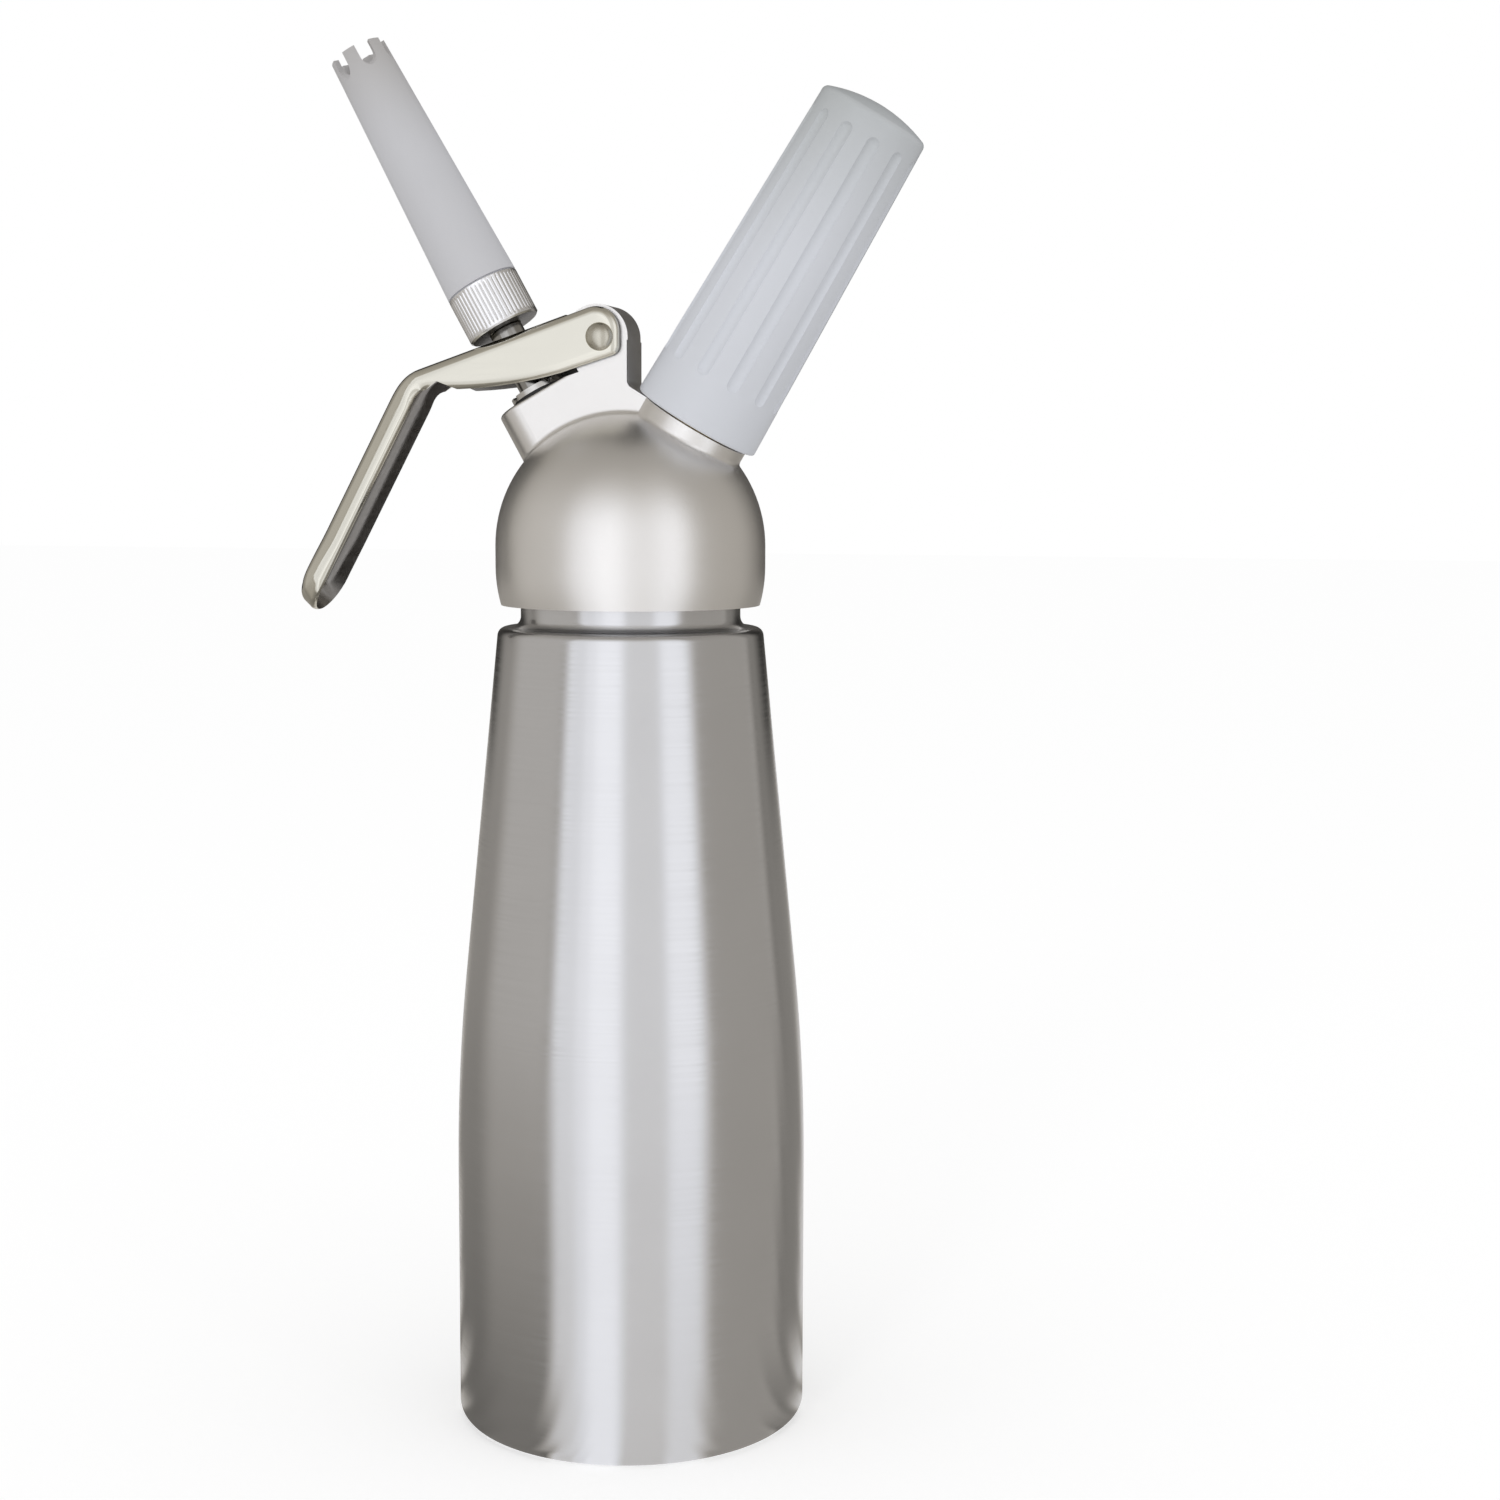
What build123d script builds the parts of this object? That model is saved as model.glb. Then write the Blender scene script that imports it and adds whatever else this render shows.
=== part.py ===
from build123d import *
from math import asin, cos, radians, sin, sqrt
import os

os.makedirs("parts", exist_ok=True)

# A half-litre whipped cream dispenser. Millimetres, +Z up. The origin is on the bottle's axis at
# the plane it stands on. +X points to the gas charger's holder, -X to the nozzle and the lever,
# and the object is symmetric about the plane Y = 0.

# ---- driving dimensions: the bottle ----
BOTTLE_R = 40.7             # outside of the straight lower wall
SHOULDER_STEP = 0.5         # the shoulder's radius inside the head's
SHOULDER_Z = 185.8          # height of the shoulder
BEND_Z = 82.0               # where the wall's vertical and tapered lines would cross
BEND_REACH = 23.0           # how far each side of that corner is blended
BOTTLE_WALL = 1.5
BOTTLE_FLOOR = 2.5
FOOT_FILLET = 3.0
FOOT_RING_R = 34.0          # inside this radius the base is dished
FOOT_DISH = 1.0
SHOULDER_FILLET = 2.0
NECK_FLARE = 2.5            # concave radius between shoulder and neck
NECK_THREAD_R = 26.6        # crest of the bottle's thread
NECK_GROOVE = 1.3           # depth of the plain groove below the thread
NECK_WALL = 4.1             # thread's crest to the mouth's bore
NECK_H = 17.7               # rim above the shoulder
THREAD_START = 6.8          # first thread above the shoulder

# ---- driving dimensions: the head ----
HEAD_WALL = 4.4             # thread's crest to the outside of the skirt
SKIRT_GAP = 5.1             # the skirt's lower rim above the shoulder
SKIRT_H = 13.5              # lower rim to the ball's centre
SKIRT_TUCK = 1.2            # how much the lower rim draws in
RIM_FILLET = 0.8
GASKET_T = 3.1
GASKET_LIP = 0.5            # the gasket reaches this far inside the bottle's rim
CHAMBER_H = 4.0             # straight part of the hollow above the gasket
CHAMBER_CROWN = 4.4
EAR_STEP = 0.8              # the ear is this much thinner than the block, each side
EAR_R = 7.4                 # round top of the ear
EAR_AHEAD = 1.4             # centre of that round, from the pivot towards -X
EAR_RISE = 0.1              # and above the pivot
JUNCTION_FILLET = 1.2

# ---- driving dimensions: the valve side ----
VALVE_TILT = 29.0           # degrees from vertical, towards -X
VALVE_CROSSING = -4.2       # where the valve's axis meets the bottle's, above the ball's centre
VALVE_BOSS_H = 9.5          # boss above the ball, along the valve's axis
VALVE_BOSS_REACH = 10.8     # the boss's end beyond the valve's axis
VALVE_BOSS_EDGE = 0.8
STEM_R = 3.95
PISTON_R = 3.7
STEM_BORE_R = 2.0
STEM_TOP = 25.0             # the stem's upper end above the boss
CHAMBER_R = 5.4             # spring chamber
CHAMBER_DEPTH = 18.0
SEAT_DEPTH = 25.5           # the valve's seat below the boss
STEM_NECK_H = 4.3           # slim part of the stem above the seat
GROOVE_DROP = 2.4           # O-ring groove below the spring's chamber
COUNTERBORE_R = 7.2
SPRING_WIRE = 1.2
SPRING_TURNS = 5.0
COLLAR_ON_STEM_T = 1.5
NUT_R = 6.5
NUT_FLANGE_T = 1.2
NUT_PLUG_R = 5.65
NUT_PLUG_H = 3.0
GUIDE_WASHER_T = 0.6
O_RING_WIRE_R = 0.55
SEAL_R = 5.6
SEAL_T = 2.0
FOOT_NUT_R = 5.0
FOOT_NUT_T = 2.6
SPIGOT_R = 1.9
THRUST_NUT_R = 5.8
THRUST_NUT_T = 2.2

# ---- driving dimensions: the nozzle ----
COLLAR_R = 8.6
COLLAR_H = 11.4
COLLAR_LIFT = 17.3          # the collar's lower face above the boss
COLLAR_THREAD_H = 6.2
TIP_SPIGOT_R = 7.2
TIP_BASE_R = 8.6
TIP_MOUTH_R = 6.65
TIP_H = 60.7                # tip above the collar
TIP_WALL = 1.45
TIP_LANDING = 6.0           # plain bottom of the tip's channel above its seat
TEETH = 6
NOTCH_W = 3.6
NOTCH_DEPTH = 4.6

# ---- driving dimensions: the lever ----
PIVOT_OFFSET = 20.46        # pivot from the valve's axis
PIVOT_RISE = 3.35           # pivot above the boss's top plane
PIN_R = 2.5
PIN_HEAD_R = 3.2
PIN_HEAD_H = 1.6
SHEET = 1.2                 # the lever's sheet
LEVER_HALF_W = 8.1
SHEET_BEND = 2.6            # outer radius of the sheet's folds
ARM_SLOPE = 19.0            # degrees, rising to the pivot
ARM_ABOVE_PIVOT = 7.56
ARM_LENGTH = 49.2           # from the pivot's foot to the outer corner
NOSE_REACH = 4.8            # the cheeks' end beyond the pivot
NOSE_TOP_FILLET = 6.0
NOSE_LOW_FILLET = 2.8
CHEEK_SLOPE = 17.6
CHEEK_BELOW_PIVOT = 5.2
BELLY_START = 11.5          # along the cheek, where its lower edge begins to sweep back
BELLY_MID = (-24.2, -11.3)  # from the pivot
BELLY_END = (-36.4, -12.1)
HANDLE_LEAN = 28.0          # degrees from vertical
HANDLE_LENGTH = 57.2
HANDLE_DEPTH = 6.3
OUTER_BEND = 14.0
INNER_BEND = 4.5
TOE_LEAN = 40.0             # the closed end's slope from vertical
LEVER_PRESS = 10.0          # degrees of travel

# ---- driving dimensions: the charger side ----
CHARGER_TILT = 31.0         # degrees from vertical, towards +X
CHARGER_CROSSING = 2.4
CHARGER_BOSS_R = 13.2
CHARGER_BOSS_H = 0.7        # boss above the ball, along the charger's axis
POST_R = 11.0
POST_NECK_R = 10.2
POST_NECK_H = 3.0
POST_H = 15.0
POST_PLUG_R = 6.0
POST_PLUG_H = 9.0
POST_CUP_DEPTH = 5.4
INLET_GASKET_T = 1.4
INLET_GASKET_BORE_R = 1.2
PIN_POINT_R = 0.8
PIERCE_DEPTH = 3.2          # the pin's point inside the charger's mouth
GAS_BORE_R = 1.0
CHECK_VALVE_R = 3.6
CHECK_VALVE_H = 3.4
CHARGER_R = 9.3             # eight-gram gas capsule
CHARGER_L = 65.5
CHARGER_NECK_R = 4.4
CHARGER_NECK_L = 7.5
CHARGER_SHOULDER_L = 9.0
CHARGER_WALL = 1.7
CAP_R = 2.8
CAP_T = 0.4
HOLDER_WALL = 4.1           # post's thread to the outside, at the open end
HOLDER_TOP_WALL = 3.2       # bore to the outside, at the closed end
HOLDER_END_WALL = 4.8
HOLDER_CROWN = 2.6
HOLDER_EDGE = 1.5
FLUTES = 12
FLUTE_R = 2.0
FLUTE_DEPTH = 0.75
FLUTE_PHASE = -96.0         # degrees about the charger's axis, first flute
FLUTE_LOW = 12.5            # from the holder's rim to the flute's centre line end
FLUTE_HIGH = 8.5            # from the flute's upper end to the holder's crown

# ---- clearances ----
THREAD_CLEAR = 0.1          # crest to bore of a screwed pair
RUNNING = 0.08              # a shaft in its bore
EASY = 0.3                  # loose neighbours
SEAT_GAP = 0.05             # parts of different bodies that bear on each other
CHEEK_CLEAR = 0.2           # block to cheek, each side
STEP_GAP = 0.7              # cheek's lower edge to the casting's step
NOSE_GAP = 0.7              # cheek's end to the casting behind it
HOLDER_LIFT = 0.5           # the holder's rim above its boss

# ---- sizes and places worked out from them ----
HEAD_R = NECK_THREAD_R + HEAD_WALL          # the dome is half a ball
SHOULDER_R = HEAD_R - SHOULDER_STEP
NECK_GROOVE_R = NECK_THREAD_R - NECK_GROOVE
NECK_BORE_R = NECK_THREAD_R - NECK_WALL
LEVER_INNER_HALF = LEVER_HALF_W - SHEET
BLOCK_HALF_T = LEVER_INNER_HALF - CHEEK_CLEAR   # the block stands between the lever's cheeks
EAR_HALF_T = BLOCK_HALF_T - EAR_STEP
SKIRT_Z = SHOULDER_Z + SKIRT_GAP
BALL_Z = SKIRT_Z + SKIRT_H
RIM_Z = SHOULDER_Z + NECK_H
CEILING_Z = RIM_Z + GASKET_T
HEAD_BORE_R = NECK_THREAD_R + THREAD_CLEAR


def reach_of_ball(tilt, crossing):
    """Distance from the crossing on the bottle's axis to the ball, along an axis so tilted."""
    along = crossing * cos(radians(tilt))
    return -along + sqrt(along ** 2 + HEAD_R ** 2 - crossing ** 2)


def tilted_frame(tilt, side, crossing, rise):
    """A frame whose Z runs out along a port's axis and whose X lies in the plane Y = 0.

    side is -1 for the valve and 1 for the charger. The frame's X points away from the bottle.
    """
    reach = reach_of_ball(tilt, crossing) + rise
    a = radians(tilt)
    origin = (side * reach * sin(a), 0, BALL_Z + crossing + reach * cos(a))
    return Plane(origin=origin, x_dir=(side * cos(a), 0, -sin(a)), z_dir=(side * sin(a), 0, cos(a)))


VALVE = tilted_frame(VALVE_TILT, -1, VALVE_CROSSING, VALVE_BOSS_H)
CHARGER = tilted_frame(CHARGER_TILT, 1, CHARGER_CROSSING, CHARGER_BOSS_H)


def on(frame, along_x, along_z):
    """The (X, Z) of a point given in a port's frame."""
    point = frame.origin + frame.x_dir * along_x + frame.z_dir * along_z
    return (point.X, point.Z)


PIVOT = on(VALVE, -PIVOT_OFFSET, PIVOT_RISE)
EAR_CENTRE = (PIVOT[0] - EAR_AHEAD, PIVOT[1] + EAR_RISE)
ARM_DIR = (-cos(radians(ARM_SLOPE)), -sin(radians(ARM_SLOPE)))
ARM_UP = (-sin(radians(ARM_SLOPE)), cos(radians(ARM_SLOPE)))


def from_pivot(along_arm, above_arm):
    """The (X, Z) of a point given along the lever's arm from the pivot, and square to it."""
    return tuple(
        PIVOT[i] + along_arm * ARM_DIR[i] + above_arm * ARM_UP[i] for i in range(2)
    )


def moved_on(point, degrees, distance):
    """The (X, Z) that lies a distance from a point, towards degrees above +X."""
    a = radians(degrees)
    return (point[0] + distance * cos(a), point[1] + distance * sin(a))


def crossing_of(point_a, degrees_a, point_b, degrees_b):
    """Where two lines in the plane Y = 0 cross."""
    ax, az = cos(radians(degrees_a)), sin(radians(degrees_a))
    bx, bz = cos(radians(degrees_b)), sin(radians(degrees_b))
    dx, dz = point_b[0] - point_a[0], point_b[1] - point_a[1]
    t = (dx * bz - dz * bx) / (ax * bz - az * bx)
    return (point_a[0] + t * ax, point_a[1] + t * az)


def turned(edges):
    """A solid of revolution about Z from a closed chain of edges drawn as (radius, height)."""
    return revolve(Plane.XZ * make_face(edges), axis=Axis.Z)


def ring(outer, inner, low, high):
    """A plain ring or, with an inner radius of 0, a disc."""
    outline = Polyline((inner, low), (outer, low), (outer, high), (inner, high), close=True)
    return turned(outline.edges())


def crown_arc(radius, low, top):
    """A shallow arc from a rim at one height up to the axis at another."""
    curve = (radius ** 2 + (top - low) ** 2) / (2 * (top - low))
    half = asin(radius / curve) / 2
    middle = (curve * sin(half), top - curve * (1 - cos(half)))
    return ThreePointArc((radius, low), middle, (0, top))


def edges_of(points):
    """A closed polyline's edges."""
    return Polyline(*points, close=True).edges()


def rounded(points, radii):
    """A face in the plane Y = 0 from corner points, with the radius of each rounded corner."""
    face = make_face(Polyline(*points, close=True))
    for point, radius in radii:
        corner = min(face.vertices(), key=lambda v: (v.X - point[0]) ** 2 + (v.Y - point[1]) ** 2)
        face = fillet(corner, radius)
    return Plane.XZ * face


def slab(face, half_thickness):
    """A face of the plane Y = 0 thickened to both sides."""
    return extrude(face, amount=half_thickness, both=True)


# ------------------------------------------------------------------------------- bottle

def wall_line(inset, top, corner_low):
    """The bottle's side, offset inwards: edges from the floor's corner up to the shoulder's."""
    taper = (BOTTLE_R - SHOULDER_R) / (SHOULDER_Z - BEND_Z)
    lean = sqrt(1 + taper ** 2)
    radius = BOTTLE_R - inset
    bend_low = (radius, BEND_Z - BEND_REACH)
    bend_high_z = BEND_Z + BEND_REACH / lean
    slant_r = BOTTLE_R - inset * lean

    def on_taper(z):
        return (slant_r - taper * (z - BEND_Z), z)

    start = Line(corner_low, bend_low)
    blend = TangentArc(bend_low, on_taper(bend_high_z), tangent=(0, 1))
    end = Line(on_taper(bend_high_z), on_taper(top))
    return [start, blend, end]


def make_bottle():
    """The drawn aluminium bottle: dished base, tapered wall, shoulder and threaded neck."""
    side = wall_line(0, SHOULDER_Z, (BOTTLE_R, 0))
    thread_low = SHOULDER_Z + THREAD_START
    top = Polyline(
        side[-1] @ 1,
        (NECK_GROOVE_R, SHOULDER_Z),
        (NECK_GROOVE_R, thread_low - (NECK_THREAD_R - NECK_GROOVE_R) / 2),
        (NECK_THREAD_R, thread_low),
        (NECK_THREAD_R, RIM_Z),
        (0, RIM_Z),
        (0, FOOT_DISH),
        (FOOT_RING_R - 2 * FOOT_DISH, FOOT_DISH),
        (FOOT_RING_R, 0),
        (BOTTLE_R, 0),
    )
    outside = turned(side + list(top.edges()))
    outside = fillet(outside.edges().filter_by_position(Axis.Z, -0.01, 0.01)
                     .sort_by(SortBy.RADIUS)[-1], FOOT_FILLET)
    at_shoulder = outside.edges().filter_by_position(Axis.Z, SHOULDER_Z - 0.01, SHOULDER_Z + 0.01)
    outside = fillet(at_shoulder.sort_by(SortBy.RADIUS)[-1], SHOULDER_FILLET)
    at_shoulder = outside.edges().filter_by_position(Axis.Z, SHOULDER_Z - 0.01, SHOULDER_Z + 0.01)
    outside = fillet(at_shoulder.sort_by(SortBy.RADIUS)[0], NECK_FLARE)
    inner_top = SHOULDER_Z - BOTTLE_WALL
    inner = wall_line(BOTTLE_WALL, inner_top, (BOTTLE_R - BOTTLE_WALL, BOTTLE_FLOOR))
    inner_edges = Polyline(
        inner[-1] @ 1,
        (NECK_BORE_R, inner_top),
        (NECK_BORE_R, RIM_Z + 1),
        (0, RIM_Z + 1),
        (0, BOTTLE_FLOOR),
        (BOTTLE_R - BOTTLE_WALL, BOTTLE_FLOOR),
    )
    inside = turned(inner + list(inner_edges.edges()))
    floor_edge = inside.edges().filter_by_position(Axis.Z, BOTTLE_FLOOR - 0.01, BOTTLE_FLOOR + 0.01)
    inside = fillet(floor_edge.sort_by(SortBy.RADIUS)[-1], FOOT_FILLET)
    bottle = outside - inside
    rim = bottle.edges().filter_by_position(Axis.Z, RIM_Z - 0.01, RIM_Z + 0.01)
    return fillet(rim, 0.5)


# --------------------------------------------------------------------------------- head

def dome_outline():
    """Skirt and dome, drawn as one closed outline down to the axis."""
    low = (HEAD_R - SKIRT_TUCK, SKIRT_Z)
    side_start = (HEAD_R, SKIRT_Z + SKIRT_H * 0.65)
    tuck = TangentArc(side_start, low, tangent=(0, -1))
    side = Line(side_start, (HEAD_R, BALL_Z))
    quarter = (HEAD_R * cos(radians(45)), BALL_Z + HEAD_R * sin(radians(45)))
    crown = ThreePointArc((HEAD_R, BALL_Z), quarter, (0, BALL_Z + HEAD_R))
    closing = Polyline((0, BALL_Z + HEAD_R), (0, SKIRT_Z), low)
    return [tuck, side, crown] + list(closing.edges())


def shoulder_corners():
    """The casting's step below the lever's cheek: two corners, and the sliver's top behind it."""
    edge = moved_on(PIVOT, CHEEK_SLOPE - 90, CHEEK_BELOW_PIVOT + STEP_GAP)
    first = crossing_of(edge, CHEEK_SLOPE, on(VALVE, 0, 0), VALVE_TILT)
    nose = PIVOT[0] + NOSE_REACH + NOSE_GAP
    second = crossing_of(edge, CHEEK_SLOPE, (nose, PIVOT[1]), 90)
    return first, second, (nose, PIVOT[1] - NOSE_GAP)


def block_face():
    """Outline of the upright block that joins the two ports, below and behind the lever."""
    buried = -HEAD_R / 2
    first, second, sliver = shoulder_corners()
    back_x = EAR_CENTRE[0] + EAR_R
    back_foot = crossing_of((back_x, PIVOT[1]), 90, on(CHARGER, 0, 0), -CHARGER_TILT)
    points = [
        on(VALVE, VALVE_BOSS_REACH - BLOCK_HALF_T, buried),
        on(VALVE, VALVE_BOSS_REACH - BLOCK_HALF_T, 0),
        first,
        second,
        sliver,
        (back_x, sliver[1]),
        back_foot,
        on(CHARGER, CHARGER_BOSS_R / 2, 0),
        on(CHARGER, CHARGER_BOSS_R / 2, buried),
    ]
    corner_r = NOSE_LOW_FILLET + NOSE_GAP
    return rounded(points, [(second, corner_r), (back_foot, 2.0)])


def ear_solid():
    """The ear that carries the lever's pin: a round top, straight down to the block."""
    flank_top = moved_on(EAR_CENTRE, 180 + VALVE_TILT, EAR_R)
    flank_foot = moved_on(flank_top, VALVE_TILT - 90, PIVOT_RISE + 3)
    back_top = (EAR_CENTRE[0] + EAR_R, EAR_CENTRE[1])
    back_low = (back_top[0], back_top[1] - 10)
    over = moved_on(EAR_CENTRE, (180 + VALVE_TILT) / 2, EAR_R)
    arc = ThreePointArc(flank_top, over, back_top)
    sides = Polyline(back_top, back_low, flank_foot, flank_top)
    return slab(Plane.XZ * make_face([arc] + list(sides.edges())), EAR_HALF_T)


def make_head_casting():
    """The cast head: threaded skirt, dome, block, ear, two bored bosses and the hollow inside."""
    dome = turned(dome_outline())
    block = slab(block_face(), BLOCK_HALF_T)
    round_x = VALVE_BOSS_REACH - BLOCK_HALF_T
    block += VALVE * Pos(round_x, 0, 0) * ring(BLOCK_HALF_T, 0, -HEAD_R / 2, 0)
    block -= rim_rounder()
    charger_boss = CHARGER * ring(CHARGER_BOSS_R, 0, -HEAD_R / 2, 0)
    casting = block + ear_solid() + charger_boss + dome
    casting = soften_junction(casting)
    casting -= head_hollow()
    casting -= valve_bores()
    casting -= charger_bores()
    pin_hole = Plane(origin=(PIVOT[0], 0, PIVOT[1]), z_dir=(0, 1, 0))
    casting -= pin_hole * Cylinder(PIN_R + RUNNING, 4 * BLOCK_HALF_T)
    return casting


def rim_rounder():
    """Cuts the valve boss's upper edge round, and runs out over the step below the lever."""
    r = VALVE_BOSS_EDGE
    out = BLOCK_HALF_T
    corner_mid = (out - r + r * cos(radians(45)), -r + r * sin(radians(45)))
    arc = ThreePointArc((out, -r), corner_mid, (out - r, 0))
    rest = Polyline((out - r, 0), (out - r, 1), (out + 1, 1), (out + 1, -r), (out, -r))
    section = Plane.XZ * make_face([arc] + list(rest.edges()))
    end = Rot(0, 0, -90) * revolve(section, axis=Axis.Z, revolution_arc=180)
    side = Rot(0, 0, 90) * extrude(section, amount=-1.2 * PIVOT_OFFSET)
    tool = end + side + mirror(side, about=Plane.XZ)
    return VALVE * Pos(VALVE_BOSS_REACH - BLOCK_HALF_T, 0, 0) * tool


def soften_junction(casting):
    """Fillets the seam where the block and the charger's boss grow out of the dome."""
    centre = Vector(0, 0, BALL_Z)

    def is_seam(edge):
        spots = [edge @ t for t in (0.1, 0.3, 0.5, 0.7, 0.9)]
        return all(abs((p - centre).length - HEAD_R) < 0.02 and p.Z > BALL_Z + 2 for p in spots)

    seam = casting.edges().filter_by(is_seam)
    return fillet(seam, JUNCTION_FILLET)


def head_hollow():
    """The skirt's bore and the shallow vaulted chamber above the gasket."""
    chamber_r = NECK_BORE_R - GASKET_LIP
    wall_top = (chamber_r, CEILING_Z + CHAMBER_H)
    crown = (0, CEILING_Z + CHAMBER_H + CHAMBER_CROWN)
    vault = TangentArc(crown, wall_top, tangent=(1, 0))
    rest = Polyline(
        wall_top,
        (chamber_r, CEILING_Z),
        (HEAD_BORE_R, CEILING_Z),
        (HEAD_BORE_R, SKIRT_Z + 1),
        (HEAD_BORE_R + 1, SKIRT_Z),
        (HEAD_BORE_R + 1, SKIRT_Z - 1),
        (0, SKIRT_Z - 1),
        crown,
    )
    return turned([vault] + list(rest.edges()))


def valve_bores():
    """Counterbore for the guide nut, spring chamber, piston bore and the seat's recess."""
    bores = ring(NUT_PLUG_R + THREAD_CLEAR / 2, 0, -NUT_PLUG_H, 1)
    bores += ring(CHAMBER_R, 0, -CHAMBER_DEPTH, 0)
    bores += ring(PISTON_R + RUNNING, 0, -SEAT_DEPTH - 1, 0)
    bores += ring(COUNTERBORE_R, 0, -SEAT_DEPTH - HEAD_R / 3, -SEAT_DEPTH)
    return VALVE * bores


def charger_bores():
    """Threaded hole for the post, the gas passage and the check valve's recess."""
    valve_top = -POST_PLUG_H - 3
    bores = ring(POST_PLUG_R + THREAD_CLEAR / 2, 0, -POST_PLUG_H, 1)
    bores += ring(GAS_BORE_R, 0, valve_top - 1, 0)
    bores += ring(CHECK_VALVE_R + SEAT_GAP, 0, -HEAD_R / 1.5, valve_top)
    return CHARGER * bores


# -------------------------------------------------------------------------------- seals

def make_head_gasket():
    """Flat silicone ring between the bottle's rim and the head."""
    outer = HEAD_BORE_R - EASY
    return ring(outer, NECK_BORE_R - GASKET_LIP, RIM_Z, CEILING_Z)


def torus_ring(centre_r, wire_r, height):
    """An O-ring about Z."""
    return Pos(0, 0, height) * Torus(centre_r, wire_r)


# -------------------------------------------------------------------------------- valve

GUIDE_TOP = GUIDE_WASHER_T + NUT_FLANGE_T
STEM_COLLAR_TOP = -NUT_PLUG_H - SEAT_GAP
STEM_COLLAR_LOW = STEM_COLLAR_TOP - COLLAR_ON_STEM_T
PISTON_LOW = -SEAT_DEPTH + STEM_NECK_H
GROOVE_LOW = -CHAMBER_DEPTH - GROOVE_DROP
SEAL_TOP = -SEAT_DEPTH - SEAT_GAP
SEAL_LOW = SEAL_TOP - SEAL_T
WEB_UNDERSIDE = ARM_ABOVE_PIVOT - SHEET
PRESS_LEAN = radians(VALVE_TILT - ARM_SLOPE)
THRUST_TOP = (
    PIVOT_RISE
    + (WEB_UNDERSIDE + (PIVOT_OFFSET - THRUST_NUT_R) * sin(PRESS_LEAN)) / cos(PRESS_LEAN)
    - 0.1
)


def make_guide_washer():
    """Black fibre washer under the guide nut."""
    return VALVE * ring(NUT_R - 0.2, NUT_PLUG_R + SEAT_GAP, 0, GUIDE_WASHER_T)


def make_valve_guide_nut():
    """Slotted round nut that guides the stem and shuts the spring chamber."""
    bore = STEM_R + RUNNING
    nut = ring(NUT_R, bore, GUIDE_WASHER_T, GUIDE_TOP) + ring(NUT_PLUG_R, bore, -NUT_PLUG_H, 1)
    for angle in (45, 135):
        slot = Box(4 * NUT_R, 1.6, 1.2)
        nut -= Rot(0, 0, angle) * Pos(0, 0, GUIDE_TOP) * slot
    return VALVE * nut


def make_valve_stem():
    """Hollow steel stem: threaded top, shoulder, piston with a groove, neck with side holes."""
    neck_r = STEM_BORE_R + 0.9
    groove_r = PISTON_R - 2 * O_RING_WIRE_R
    outline = [
        (0, SEAL_LOW - FOOT_NUT_T),
        (SPIGOT_R, SEAL_LOW - FOOT_NUT_T),
        (SPIGOT_R, SEAL_TOP),
        (neck_r, SEAL_TOP),
        (neck_r, PISTON_LOW),
        (PISTON_R, PISTON_LOW),
        (PISTON_R, GROOVE_LOW),
        (groove_r, GROOVE_LOW),
        (groove_r, GROOVE_LOW + 2 * O_RING_WIRE_R + 0.2),
        (PISTON_R, GROOVE_LOW + 2 * O_RING_WIRE_R + 0.2),
        (PISTON_R, STEM_COLLAR_LOW),
        (CHAMBER_R - 0.1, STEM_COLLAR_LOW),
        (CHAMBER_R - 0.1, STEM_COLLAR_TOP),
        (STEM_R, STEM_COLLAR_TOP),
        (STEM_R, STEM_TOP),
        (0, STEM_TOP),
    ]
    stem = turned(edges_of(outline))
    floor = SEAL_TOP + 1.2
    stem -= ring(STEM_BORE_R, 0, floor, STEM_TOP + 1)
    side_hole = Pos(0, 0, floor + 1.1) * Rot(90, 0, 0) * Cylinder(0.9, 4 * PISTON_R)
    for angle in (0, 90):
        stem -= Rot(0, 0, angle) * side_hole
    return VALVE * stem


def make_stem_o_ring():
    """Seals the piston in its bore."""
    height = GROOVE_LOW + O_RING_WIRE_R + 0.1
    centre_r = PISTON_R - O_RING_WIRE_R + 0.02
    return VALVE * torus_ring(centre_r, O_RING_WIRE_R - 0.03, height)


def make_valve_seal():
    """Rubber disc that shuts the seat from below."""
    return VALVE * ring(SEAL_R, SPIGOT_R, SEAL_LOW, SEAL_TOP)


def make_seal_nut():
    """Holds the valve's rubber disc on the stem's spigot."""
    hexagon = extrude(RegularPolygon(FOOT_NUT_R, 6), amount=FOOT_NUT_T - 1.2)
    nut = ring(FOOT_NUT_R, SPIGOT_R, 0, 1.2)
    nut += Pos(0, 0, -(FOOT_NUT_T - 1.2)) * hexagon - ring(SPIGOT_R, 0, -FOOT_NUT_T, 0)
    return VALVE * Pos(0, 0, SEAL_LOW - 1.2) * nut


def make_valve_spring():
    """Compression spring between the chamber's floor and the stem's shoulder."""
    coil_r = (PISTON_R + CHAMBER_R) / 2
    low = -CHAMBER_DEPTH + SPRING_WIRE / 2 + SEAT_GAP
    high = STEM_COLLAR_LOW - SPRING_WIRE / 2 - SEAT_GAP
    path = Helix(pitch=(high - low) / SPRING_TURNS, height=high - low, radius=coil_r)
    section = Plane(origin=path @ 0, z_dir=path % 0) * Circle(SPRING_WIRE / 2)
    return VALVE * Pos(0, 0, low) * sweep(section, path=path, is_frenet=True)


def make_thrust_nut():
    """Round nut on the stem that the lever bears on."""
    nut = ring(THRUST_NUT_R, STEM_R, THRUST_TOP - THRUST_NUT_T, THRUST_TOP)
    rim = nut.edges().filter_by(GeomType.CIRCLE).sort_by(SortBy.RADIUS)[-2:]
    return VALVE * chamfer(rim, 0.3)


# ------------------------------------------------------------------------------- nozzle

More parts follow.
